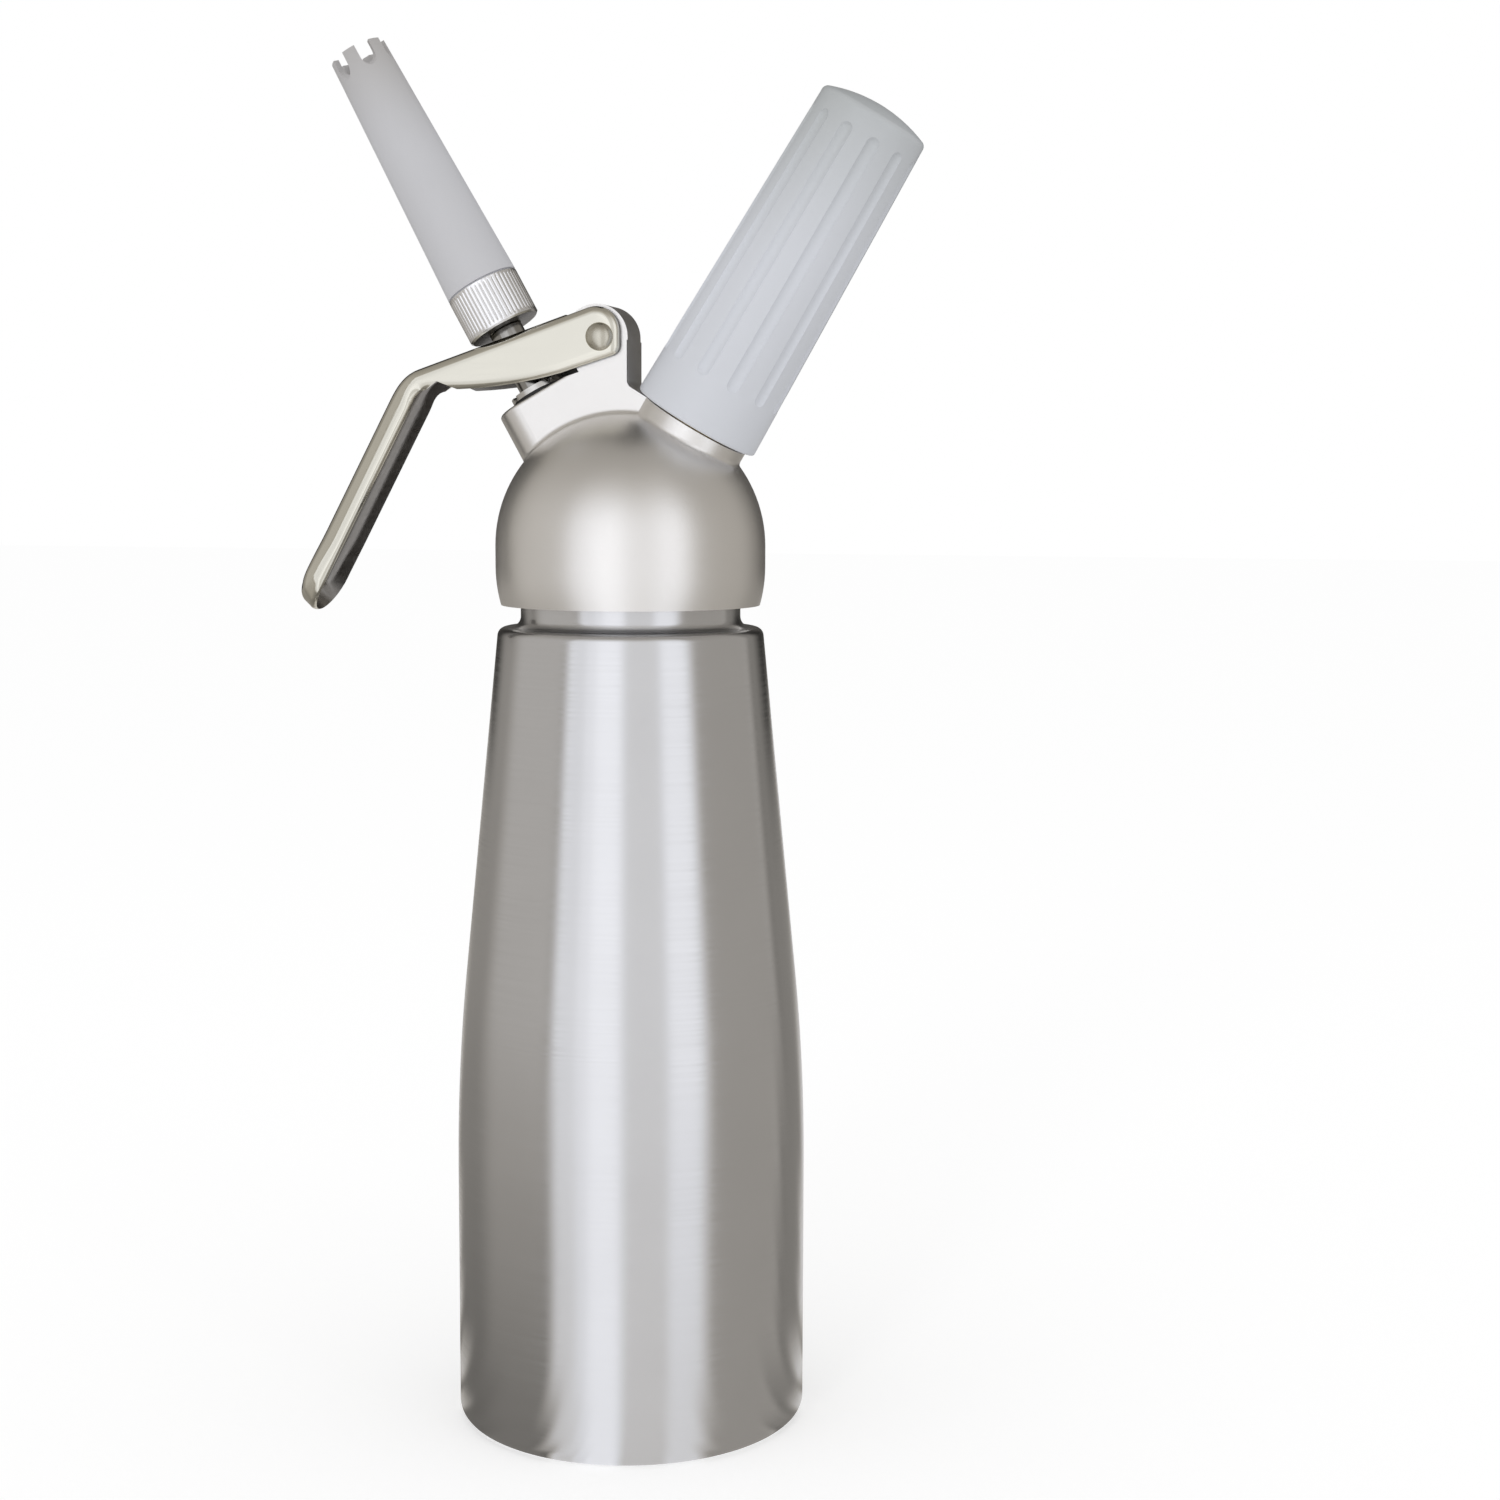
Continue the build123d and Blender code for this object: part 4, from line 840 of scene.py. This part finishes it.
@dataclass
class LeverParts:
    """The pressed lever and its rivet.

    The sheet's folds are tight along the arm and open through the bend to a nearly half-round
    handle. Where the cheeks end, the free edge has a small notch, whose corners are places from
    the pivot with a rounding. The rivet is the radius and height of its heads and the radius of
    its shank. The arm's slope and the handle's lean are degrees from level and from upright.
    """

    pivot: tuple[float, float] = (-5.1126, 251.6256)
    arm_slope: float = 19.0
    above: float = 7.56
    length: float = 49.2
    lean: float = 28.0
    half_width: float = 8.1
    sheet: float = 1.2
    bend: float = 14.0
    fold: float = 2.6
    handle_fold: float = 4.4
    toe_share: float = 0.6
    handle_in: float = 0.45
    handle_depth: float = 6.3
    handle_length: float = 46.0
    round_until: tuple[float, float] = (34.0, 43.0)
    toe_from: float = 40.0
    middle_depth: tuple[float, float] = (20.0, 8.0)
    cut_every: float = 2.0
    cut_degrees: float = 4.0
    notch: tuple[tuple[float, float, float], ...] = (
        (-32.0, -12.5, 0), (-38.9, -9.7, 1.3), (-44.9, -14.15, 14.0), (-47.6, -21.7, 0),
        (-34.0, -21.7, 0),
    )
    notch_half: float = 12.0
    rivet: tuple[float, float, float] = (3.2, 2.2, 2.5)
    away: Array = field(init=False, repr=False)
    up: Array = field(init=False, repr=False)
    along: Array = field(init=False, repr=False)
    inside: Array = field(init=False, repr=False)
    centre: Array = field(init=False, repr=False)

    def __post_init__(self) -> None:
        """Works out the side view's directions and the bend's centre."""
        a, b = math.radians(self.arm_slope), math.radians(self.lean)
        self.away = np.array([-math.cos(a), -math.sin(a)])
        self.up = np.array([-math.sin(a), math.cos(a)])
        self.along = np.array([-math.sin(b), -math.cos(b)])
        self.inside = np.array([math.cos(b), -math.sin(b)])
        reach = self.bend * math.tan(math.radians(90 - self.lean - self.arm_slope) / 2)
        corner = np.array(self.pivot) + self.away * self.length + self.up * self.above
        self.centre = corner - self.away * reach - self.up * self.bend

    def section(self, points: Array) -> tuple[Array, Array, Array, Array]:
        """Says where points stand in the channel's section.

        Before the bend and after it the depth is the distance from the arm's or handle's plane,
        and in the bend it is the bend's radius less the distance from its centre.

        Args:
            points: (n, 3) places in mm.

        Returns:
            (n,) depths in mm, (n, 2) inward directions, (n,) turned shares of the bend from 0 to 1,
            and (n,) distances along the handle from the bend's end.
        """
        flat = points[:, (0, 2)] - self.centre
        r = np.linalg.norm(flat, axis=1)
        on_arm, on_handle = flat @ self.away < 0, flat @ self.along > 0
        depth = self.bend - r
        depth = np.where(on_handle, self.bend + flat @ self.inside, depth)
        depth = np.where(on_arm, self.bend - flat @ self.up, depth)
        inward = np.where(on_handle[:, None], self.inside, -flat / r[:, None])
        inward = np.where(on_arm[:, None], -self.up, inward)
        turned = np.arccos(np.clip(flat @ self.up / r, -1, 1))
        turned = turned / math.radians(90 - self.lean - self.arm_slope)
        turned = np.where(on_arm, 0.0, np.where(on_handle, 1.0, np.clip(turned, 0, 1)))
        return depth, inward, turned, flat @ self.along

    def opened(self, points: Array) -> Array:
        """Opens the fold's radius from the arm's to the handle's.

        In the corner a point's distance from the fold's centre grows by the radius' growth. The
        web keeps its depth and is squeezed to what is left between the folds, and the cheek keeps
        its width and is squeezed between the fold's end and the free edge. The handle also stands
        in by a little.

        Args:
            points: (n, 3) places in mm.

        Returns:
            (n, 3) new places.
        """
        depth, inward, turned, on = self.section(points)
        low, high = self.round_until
        before_toe = smooth(np.clip((high - on) / (high - low), 0, 1))
        eased = smooth(turned)
        share = eased * (self.toe_share + (1 - self.toe_share) * before_toe)
        grow = (self.handle_fold - self.fold) * share
        wide, flat_to = np.abs(points[:, 1]), self.half_width - self.fold
        across, down = wide - flat_to, self.fold - depth
        span = self.handle_depth - self.fold
        in_corner, on_cheek = (across > 0) & (down > 0), (down <= 0) & (-down < span)
        r = np.maximum(np.hypot(across, down), TINY)
        new_depth = np.where(in_corner, self.fold + grow - down * (r + grow) / r, depth)
        squeezed = self.fold + grow - down * (span - grow) / span
        new_depth = np.where(on_cheek, squeezed, new_depth)
        new_wide = np.where(in_corner, flat_to - grow + across * (r + grow) / r, wide)
        on_web = (across <= 0) & (down > 0)
        new_wide = np.where(on_web, wide * (flat_to - grow) / flat_to, new_wide)
        new = points.copy()
        new[:, (0, 2)] += inward * (new_depth - depth)[:, None]
        new[:, (0, 2)] += self.inside * (self.handle_in * eased)[:, None]
        new[:, 1] = np.sign(points[:, 1]) * new_wide
        return new

    def stations(self) -> list[tuple[Array, Array]]:
        """Places and directions of the cross cuts: along the handle, then round the bend."""
        straight = np.arange(0, self.handle_length, self.cut_every)
        cuts = [(self.centre + self.along * on, self.along) for on in straight]
        first, last = self.arm_slope + self.cut_degrees, 90 - self.lean
        for a in np.radians(np.arange(first, last, self.cut_degrees)):
            cuts.append((self.centre, np.array([-math.cos(a), -math.sin(a)])))
        return cuts

    def pressed(self) -> Shape:
        """The CAD sheet, joined, cut across at each station, and opened."""
        shape = bmesh.new()
        shape.from_mesh(bpy.data.objects["lever"].data)
        bmesh.ops.remove_doubles(shape, verts=shape.verts, dist=WELD * MM)
        for spot, way in self.stations():
            bmesh.ops.bisect_plane(
                shape, geom=[*shape.verts, *shape.edges, *shape.faces], dist=WELD * MM,
                plane_co=(spot[0] * MM, 0, spot[1] * MM), plane_no=(way[0], 0, way[1]),
            )
        bmesh.ops.triangulate(shape, faces=shape.faces)
        points = np.array([v.co[:] for v in shape.verts]) / MM
        shape.verts.index_update()
        faces = [[v.index for v in face.verts] for face in shape.faces]
        shape.free()
        return self.opened(points), faces

    def notch_tool(self) -> Shape:
        """A prism across the lever whose section is the notch's rounded outline."""
        chain = np.array(self.notch, dtype=float)
        chain[:, :2] += np.array(self.pivot)
        outline = rounded_path(chain, 30.0)
        n = len(outline)
        ends = [np.insert(outline, 1, y, axis=1) for y in (-self.notch_half, self.notch_half)]
        k = np.arange(n)
        faces = np.stack([k, (k + 1) % n, (k + 1) % n + n, k + n], axis=-1).tolist()
        faces += [[0, i + 1, i] for i in range(1, n - 1)]
        faces += [[n, n + i, n + i + 1] for i in range(1, n - 1)]
        points = np.concatenate(ends)
        return points, outward(points, faces)

    def inner_side(self, mesh: bpy.types.Mesh) -> Array:
        """Finds the faces of the sheet's inner side.

        A face is on the inner side if it looks towards the channel's middle line, whose depth goes
        from the arm's to the handle's, and isn't the sheet's edge. At the toe it is one that looks
        back along the handle.

        Args:
            mesh: the lever's mesh, in metres.

        Returns:
            (n,) true for those faces.
        """
        centres, normals = face_sides(mesh)
        depth, inward, turned, on = self.section(centres)
        flat = normals[:, (0, 2)]
        on_arm, on_handle = self.middle_depth
        below = on_arm + (on_handle - on_arm) * turned - depth
        looks_in = np.einsum("ij,ij->i", flat, inward) * below - normals[:, 1] * centres[:, 1] > 0
        back = flat @ self.along
        looks_in = np.where((on > self.toe_from) & (np.abs(back) > 0.4), back < 0, looks_in)
        return looks_in & (np.abs(centres[:, 1]) < self.half_width - 0.96 * self.sheet)

    def headed(self) -> Shape:
        """The rivet across the lever. Each head is half an ellipse: (R sin t, w + H cos t)."""
        wide, high, shank = self.rivet
        t = np.linspace(0, np.pi / 2, 16)
        head = np.stack([wide * np.sin(t), self.half_width + high * np.cos(t)], axis=-1)
        half = np.concatenate([head, [[shank, self.half_width]]])
        outline = np.concatenate([half, half[::-1] * (1, -1)])
        points, faces = lathe(outline, 64, UPRIGHT)
        points = points[:, (0, 2, 1)] + (self.pivot[0], 0, self.pivot[1])
        return points, outward(points, faces)

    def build(self) -> None:
        """Makes the lever, duller inside and painted darker there as painted shade, and the rivet in
        place of their CAD nodes.
        """
        shape = cut_out(self.pressed(), self.notch_tool())
        lever = make_piece("lever_pressed", shape, POLISHED_SHEET, "lever", 30)
        # The inner side gets a darker grey: painted shade inside the channel, on a duller finish.
        refinish(lever, INSIDE_DULL_PAINTED_SHADE, self.inner_side(lever.data))
        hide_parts("lever")
        rivet = make_piece("rivet_headed", self.headed(), HEADED_RIVET, "lever", 50)
        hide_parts("lever_pin")


@dataclass
class ChargerSide:
    """The threaded post, the gas charger and the holder over them.

    tail is a radius and its lowest height, flange and relief a radius and its top, cup and
    pin_hole a radius and its floor. Heights are on the charger's axis.
    """

    tail: tuple[float, float] = (6.0, -9.0)
    flange: tuple[float, float] = (10.2, 3.0)
    top: float = 15.0
    chamfer: float = 0.5
    cup: tuple[float, float] = (4.8, 9.6)
    pin_hole: tuple[float, float] = (0.8, 7.6)
    gas_bore: float = 0.5
    relief: tuple[float, float] = (1.0, -7.0)
    thread: Thread = Thread(
        crest=11.0, pitch=2.5, depth=0.9, low=3.8, high=14.6, runout=1.25, step=0.2
    )

    def profile(self) -> Array:
        """Outline of the post's section, closed round its gas bore."""
        (tail, tail_low), (flange, flange_top) = self.tail, self.flange
        (cup, cup_floor), (hole, hole_floor) = self.cup, self.pin_hole
        relief, relief_top = self.relief
        crest, top, bore = self.thread.crest, self.top, self.gas_bore
        corners = [
            (relief, tail_low, 0), (tail, tail_low, 0.3), (tail, 0, 0), (flange, 0, 0),
            (flange, flange_top, 0), *self.thread.rows(top - 0.7), (crest, top - self.chamfer, 0),
            (crest - self.chamfer, top, 0.1), (cup, top, 0.3), (cup, cup_floor, 0),
            (hole, cup_floor, 0), (hole, hole_floor, 0), (bore, hole_floor, 0),
            (bore, relief_top, 0), (relief, relief_top, 0), (relief, tail_low, 0),
        ]
        return rounded_path(corners, 2.0)

    def build(self) -> None:
        """Makes the post in place of its CAD node and dresses the rest."""
        shape = lathe(self.profile(), 128, CHARGER, self.thread.cut)
        post = make_piece("post_turned", shape, TURNED_BRASS, "head")
        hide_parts("charger_post")
        dress(
            {
                "piercing_pin": TURNED_STEEL, "inlet_gasket": NITRILE,
                "inlet_check_valve": NITRILE, "n2o_charger": ZINC_CAPSULE,
                "charger_seal_cap": TURNED_BRASS, "charger_holder": MOULDED_HOLDER,
            }
        )


# -------------------------------------------------------------------------------- studio


@dataclass(frozen=True)
class Card:
    """A card or panel of the surround: its edges in degrees from the camera, right positive.

    foot is the share of its level that is left on the floor close to the object.
    """

    start: float
    stop: float
    level: float
    edge: float = 5.0
    foot: float = 0.9

    def window(self, angles: Array) -> Array:
        """1 between the edges and 0 outside, with a smooth step over the edge's width."""
        inside = np.minimum(angles - self.start, self.stop - angles)
        return smooth(np.clip(inside / self.edge + 0.5, 0, 1))


@dataclass(frozen=True)
class Lamp:
    """A soft box aimed at the middle of the object. Metal reflects the cards in its place.

    angle is in degrees from the camera's direction, the lengths are metres, and level is its
    brightness, where 1 is white.
    """

    name: str
    angle: float
    width: float
    level: float
    height: float = 1.3
    away: float = 1.4
    up: float = 0.45
    aim: float = 0.16

    def build(self, azimuth: float) -> None:
        """Makes the lamp, for a camera at that azimuth."""
        data = bpy.data.lights.new(self.name, "AREA")
        data.shape = "RECTANGLE"
        data.size, data.size_y = self.width, self.height
        data.energy = self.level * self.width * self.height * math.pi
        a = math.radians(self.angle + azimuth)
        spot = Vector((self.away * math.sin(a), -self.away * math.cos(a), self.up))
        lamp = add_object(self.name, data)
        lamp.location = spot
        lamp.rotation_mode = "QUATERNION"
        lamp.rotation_quaternion = (Vector((0, 0, self.aim)) - spot).to_track_quat("-Z", "Y")
        lamp.visible_glossy = False


@dataclass
class Studio:
    """Floor, world, lamps, a surround that only reflections see, and the camera.

    distance, aside and height place the camera in mm and its angles are degrees. What is named
    for the ceiling, the backdrop's heights, the rings and the floor is in metres. A ring of the
    surround is a radius, a height, the share of the foot's darkening and the share of the cards'
    width.
    """

    distance: float = 583.0
    azimuth: float = 12.0
    elevation: float = 6.38
    roll: float = 0.21
    aside: float = 27.63
    height: float = 157.2
    lens: float = 60.24
    ambient: float = 0.62
    floor_half: float = 6.0
    floor_colour: str = "#EDEDED"
    floor_glow: float = 0.46
    overhead: float = 0.36
    ceiling: tuple[float, float] = (0.8, 1.4)
    cards: tuple[Card, ...] = (
        Card(-400, -110, 0.34, 20, 0.5), Card(-110, -51, 0.55, 20, 0.4), Card(-51, -30, 0.98, 8, 0.8),
        Card(-30, -4, 1.26, 12), Card(-4, 27, 0.87, 14, 0.85), Card(27, 53, 1.18, 12, 0.75),
        Card(53, 120, 0.42, 10), Card(120, 400, 0.28, 20),
        Card(164, 196, 0.55, 16), Card(-196, -164, 0.5, 16),
    )
    card_tints: tuple[str, str] = ("#FFF9F0", "#FAFBFF")
    tint_levels: tuple[float, float] = (0.4, 1.0)
    backdrop: Card = Card(138, 222, 0.1, 24)
    backdrop_rise: tuple[float, float] = (0.03, 0.06)
    rings: tuple[tuple[float, float, float, float], ...] = (
        (0.03, 0.0004, 1.0, 0.5), (0.041, 0.0004, 1.0, 0.5), (0.054, 0.0004, 1.0, 0.63),
        (0.094, 0.0004, 0.9, 0.79), (0.14, 0.0004, 0.75, 0.85), (0.25, 0.0004, 0.5, 0.92),
        (0.8, 0.0004, 0.1, 1.0), (1.5, 0.0004, 0.0, 1.0), (1.5, 0.03, 0.0, 1.0),
        (1.5, 0.09, 0.0, 1.0), (1.5, 0.8, 0.0, 1.0), (1.5, 1.1, 0.0, 1.0), (1.4, 1.9, 0.0, 1.0),
        (0.9, 2.6, 0.0, 1.0), (0.02, 2.8, 0.0, 1.0),
    )
    lamps: tuple[Lamp, ...] = (
        Lamp("softbox_left", -20, 0.25, 2.0), Lamp("softbox_right", 42, 0.18, 0.7),
    )

    def camera(self) -> None:
        """Sets the camera from its distance, angles and the point it looks at."""
        a, e, t = (math.radians(v) for v in (self.azimuth, self.elevation, self.roll))
        back = Vector((math.sin(a) * math.cos(e), -math.cos(a) * math.cos(e), math.sin(e)))
        right = Vector((math.cos(a), math.sin(a), 0))
        up = back.cross(right)
        place = Vector((0, 0, self.height)) + back * self.distance + right * self.aside
        x = right * math.cos(t) + up * math.sin(t)
        y = up * math.cos(t) - right * math.sin(t)
        data = bpy.data.cameras.new("camera")
        data.lens, data.sensor_width = self.lens, 36.0
        data.clip_start, data.clip_end = 0.01, 50.0
        cam = add_object("camera", data)
        turn = Matrix((x, y, back)).transposed().to_4x4()
        cam.matrix_world = Matrix.Translation(place * MM) @ turn
        bpy.context.scene.camera = cam

    def world(self) -> None:
        """An even world that lights the object, and a white one for what sees the background."""
        world = bpy.data.worlds.new("studio")
        bpy.context.scene.world = world
        world.use_nodes = True
        tree = world.node_tree
        tree.nodes.clear()
        white = linear("#FFFFFF")
        light, backing = (
            add_node(tree, "ShaderNodeBackground", {"Color": white, "Strength": level}).outputs[0]
            for level in (self.ambient, 1.0)
        )
        mix = add_node(tree, "ShaderNodeMixShader", {0: seen_by_lens(tree), 1: light, 2: backing})
        add_node(tree, "ShaderNodeOutputWorld", {"Surface": mix.outputs[0]})

    def floor(self) -> None:
        """A pale floor that renders white and keeps the object's soft shadow."""
        s = self.floor_half
        floor = add_mesh("floor", [(-s, -s, 0), (s, -s, 0), (s, s, 0), (-s, s, 0)], [[0, 1, 2, 3]])
        material = bare_material("floor_pale")
        tree = material.node_tree
        matt = add_node(tree, "ShaderNodeBsdfDiffuse", {"Color": linear(self.floor_colour)})
        none, glow = (
            add_node(tree, "ShaderNodeEmission", {"Strength": level}).outputs[0]
            for level in (0.0, self.floor_glow)
        )
        lift = add_node(tree, "ShaderNodeMixShader", {0: seen_by_lens(tree), 1: none, 2: glow})
        both = add_node(tree, "ShaderNodeAddShader", {0: matt.outputs[0], 1: lift.outputs[0]})
        add_node(tree, "ShaderNodeOutputMaterial", {"Surface": both.outputs[0]})
        floor.data.materials.append(material)

    def levels(self, angles: Array, rings: Array) -> Array:
        """How bright the surround is.

        The level at an angle is the sum of each card's level times a smooth window between its
        edges. The cards stand on rings of the floor, where they are darker and narrower near the
        object, and turn into a grey ceiling overhead. The backdrop's level multiplies what stands
        behind the object.

        Args:
            angles: (1, n) degrees from the camera's direction.
            rings: (m, 4) rings.

        Returns:
            (m, n) levels, where 1 is white.
        """
        up, near, narrow = rings[:, 1:2], rings[:, 2:3], rings[:, 3:4]
        value = np.zeros((len(rings), angles.shape[1]))
        for card in self.cards:
            value += card.level * (1 - near * (1 - card.foot)) * card.window(angles / narrow)
        start, rise = self.ceiling
        value += (self.overhead - value) * np.clip((up - start) / rise, 0, 1)
        start, rise = self.backdrop_rise
        behind = self.backdrop.window(np.abs(angles)) * np.clip((up - start) / rise, 0, 1)
        return value * (1 - (1 - self.backdrop.level) * behind)

    def surround(self) -> None:
        """Grey cards and bright panels round the object, which only its reflections see.

        Each ring is (r sin a, -r cos a, h), and its points carry the level as an attribute.
        """
        angles = np.linspace(-180, 180, 241)[None, :]
        rings = np.array(self.rings)
        value = self.levels(angles, rings)
        a = np.radians(angles[0] + self.azimuth)
        n = len(a)
        r, h = rings[:, :1], np.repeat(rings[:, 1:2], n, axis=1)
        points = np.stack([r * np.sin(a), -r * np.cos(a), h], axis=-1).reshape(-1, 3)
        i, j = np.arange(len(rings) - 1)[:, None] * n, np.arange(n - 1)[None, :]
        faces = np.stack([i + j, i + j + 1, i + j + 1 + n, i + j + n], axis=-1).reshape(-1, 4)
        surround = add_mesh("surround", points.tolist(), faces.tolist())
        mesh = surround.data
        mesh.attributes.new("level", "FLOAT", "POINT").data.foreach_set("value", value.ravel())
        mesh.materials.append(self.card_material())
        for kind in ("camera", "diffuse", "transmission", "shadow", "volume_scatter"):
            setattr(surround, "visible_" + kind, False)

    def card_material(self) -> bpy.types.Material:
        """A glow at each point's level, warm where it is dim and cool where it is bright."""
        material = bare_material("surround_cards")
        tree = material.node_tree
        warm, cool = (linear(tint) for tint in self.card_tints)
        level = add_node(tree, "ShaderNodeAttribute", attribute_name="level").outputs["Fac"]
        tint = mixed(tree, mapped(tree, level, self.tint_levels, (0.0, 1.0)), warm, cool)
        glow = add_node(tree, "ShaderNodeEmission", {"Color": tint, "Strength": level})
        add_node(tree, "ShaderNodeOutputMaterial", {"Surface": glow.outputs[0]})
        return material

    def build(self) -> None:
        """Makes the whole studio."""
        bpy.context.scene.view_settings.view_transform = "Standard"
        self.camera()
        self.world()
        self.floor()
        self.surround()
        for lamp in self.lamps:
            lamp.build(self.azimuth)


def main() -> None:
    """Loads the frame and builds each sub-assembly and the studio."""
    logging.basicConfig(level=logging.INFO, format="%(message)s")
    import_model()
    for part in (Bottle(), Head(), Valve(), Nozzle(), LeverParts(), ChargerSide()):
        log.info("building %s", type(part).__name__)
        part.build()
    Studio().build()


if __name__ == "__main__":
    main()
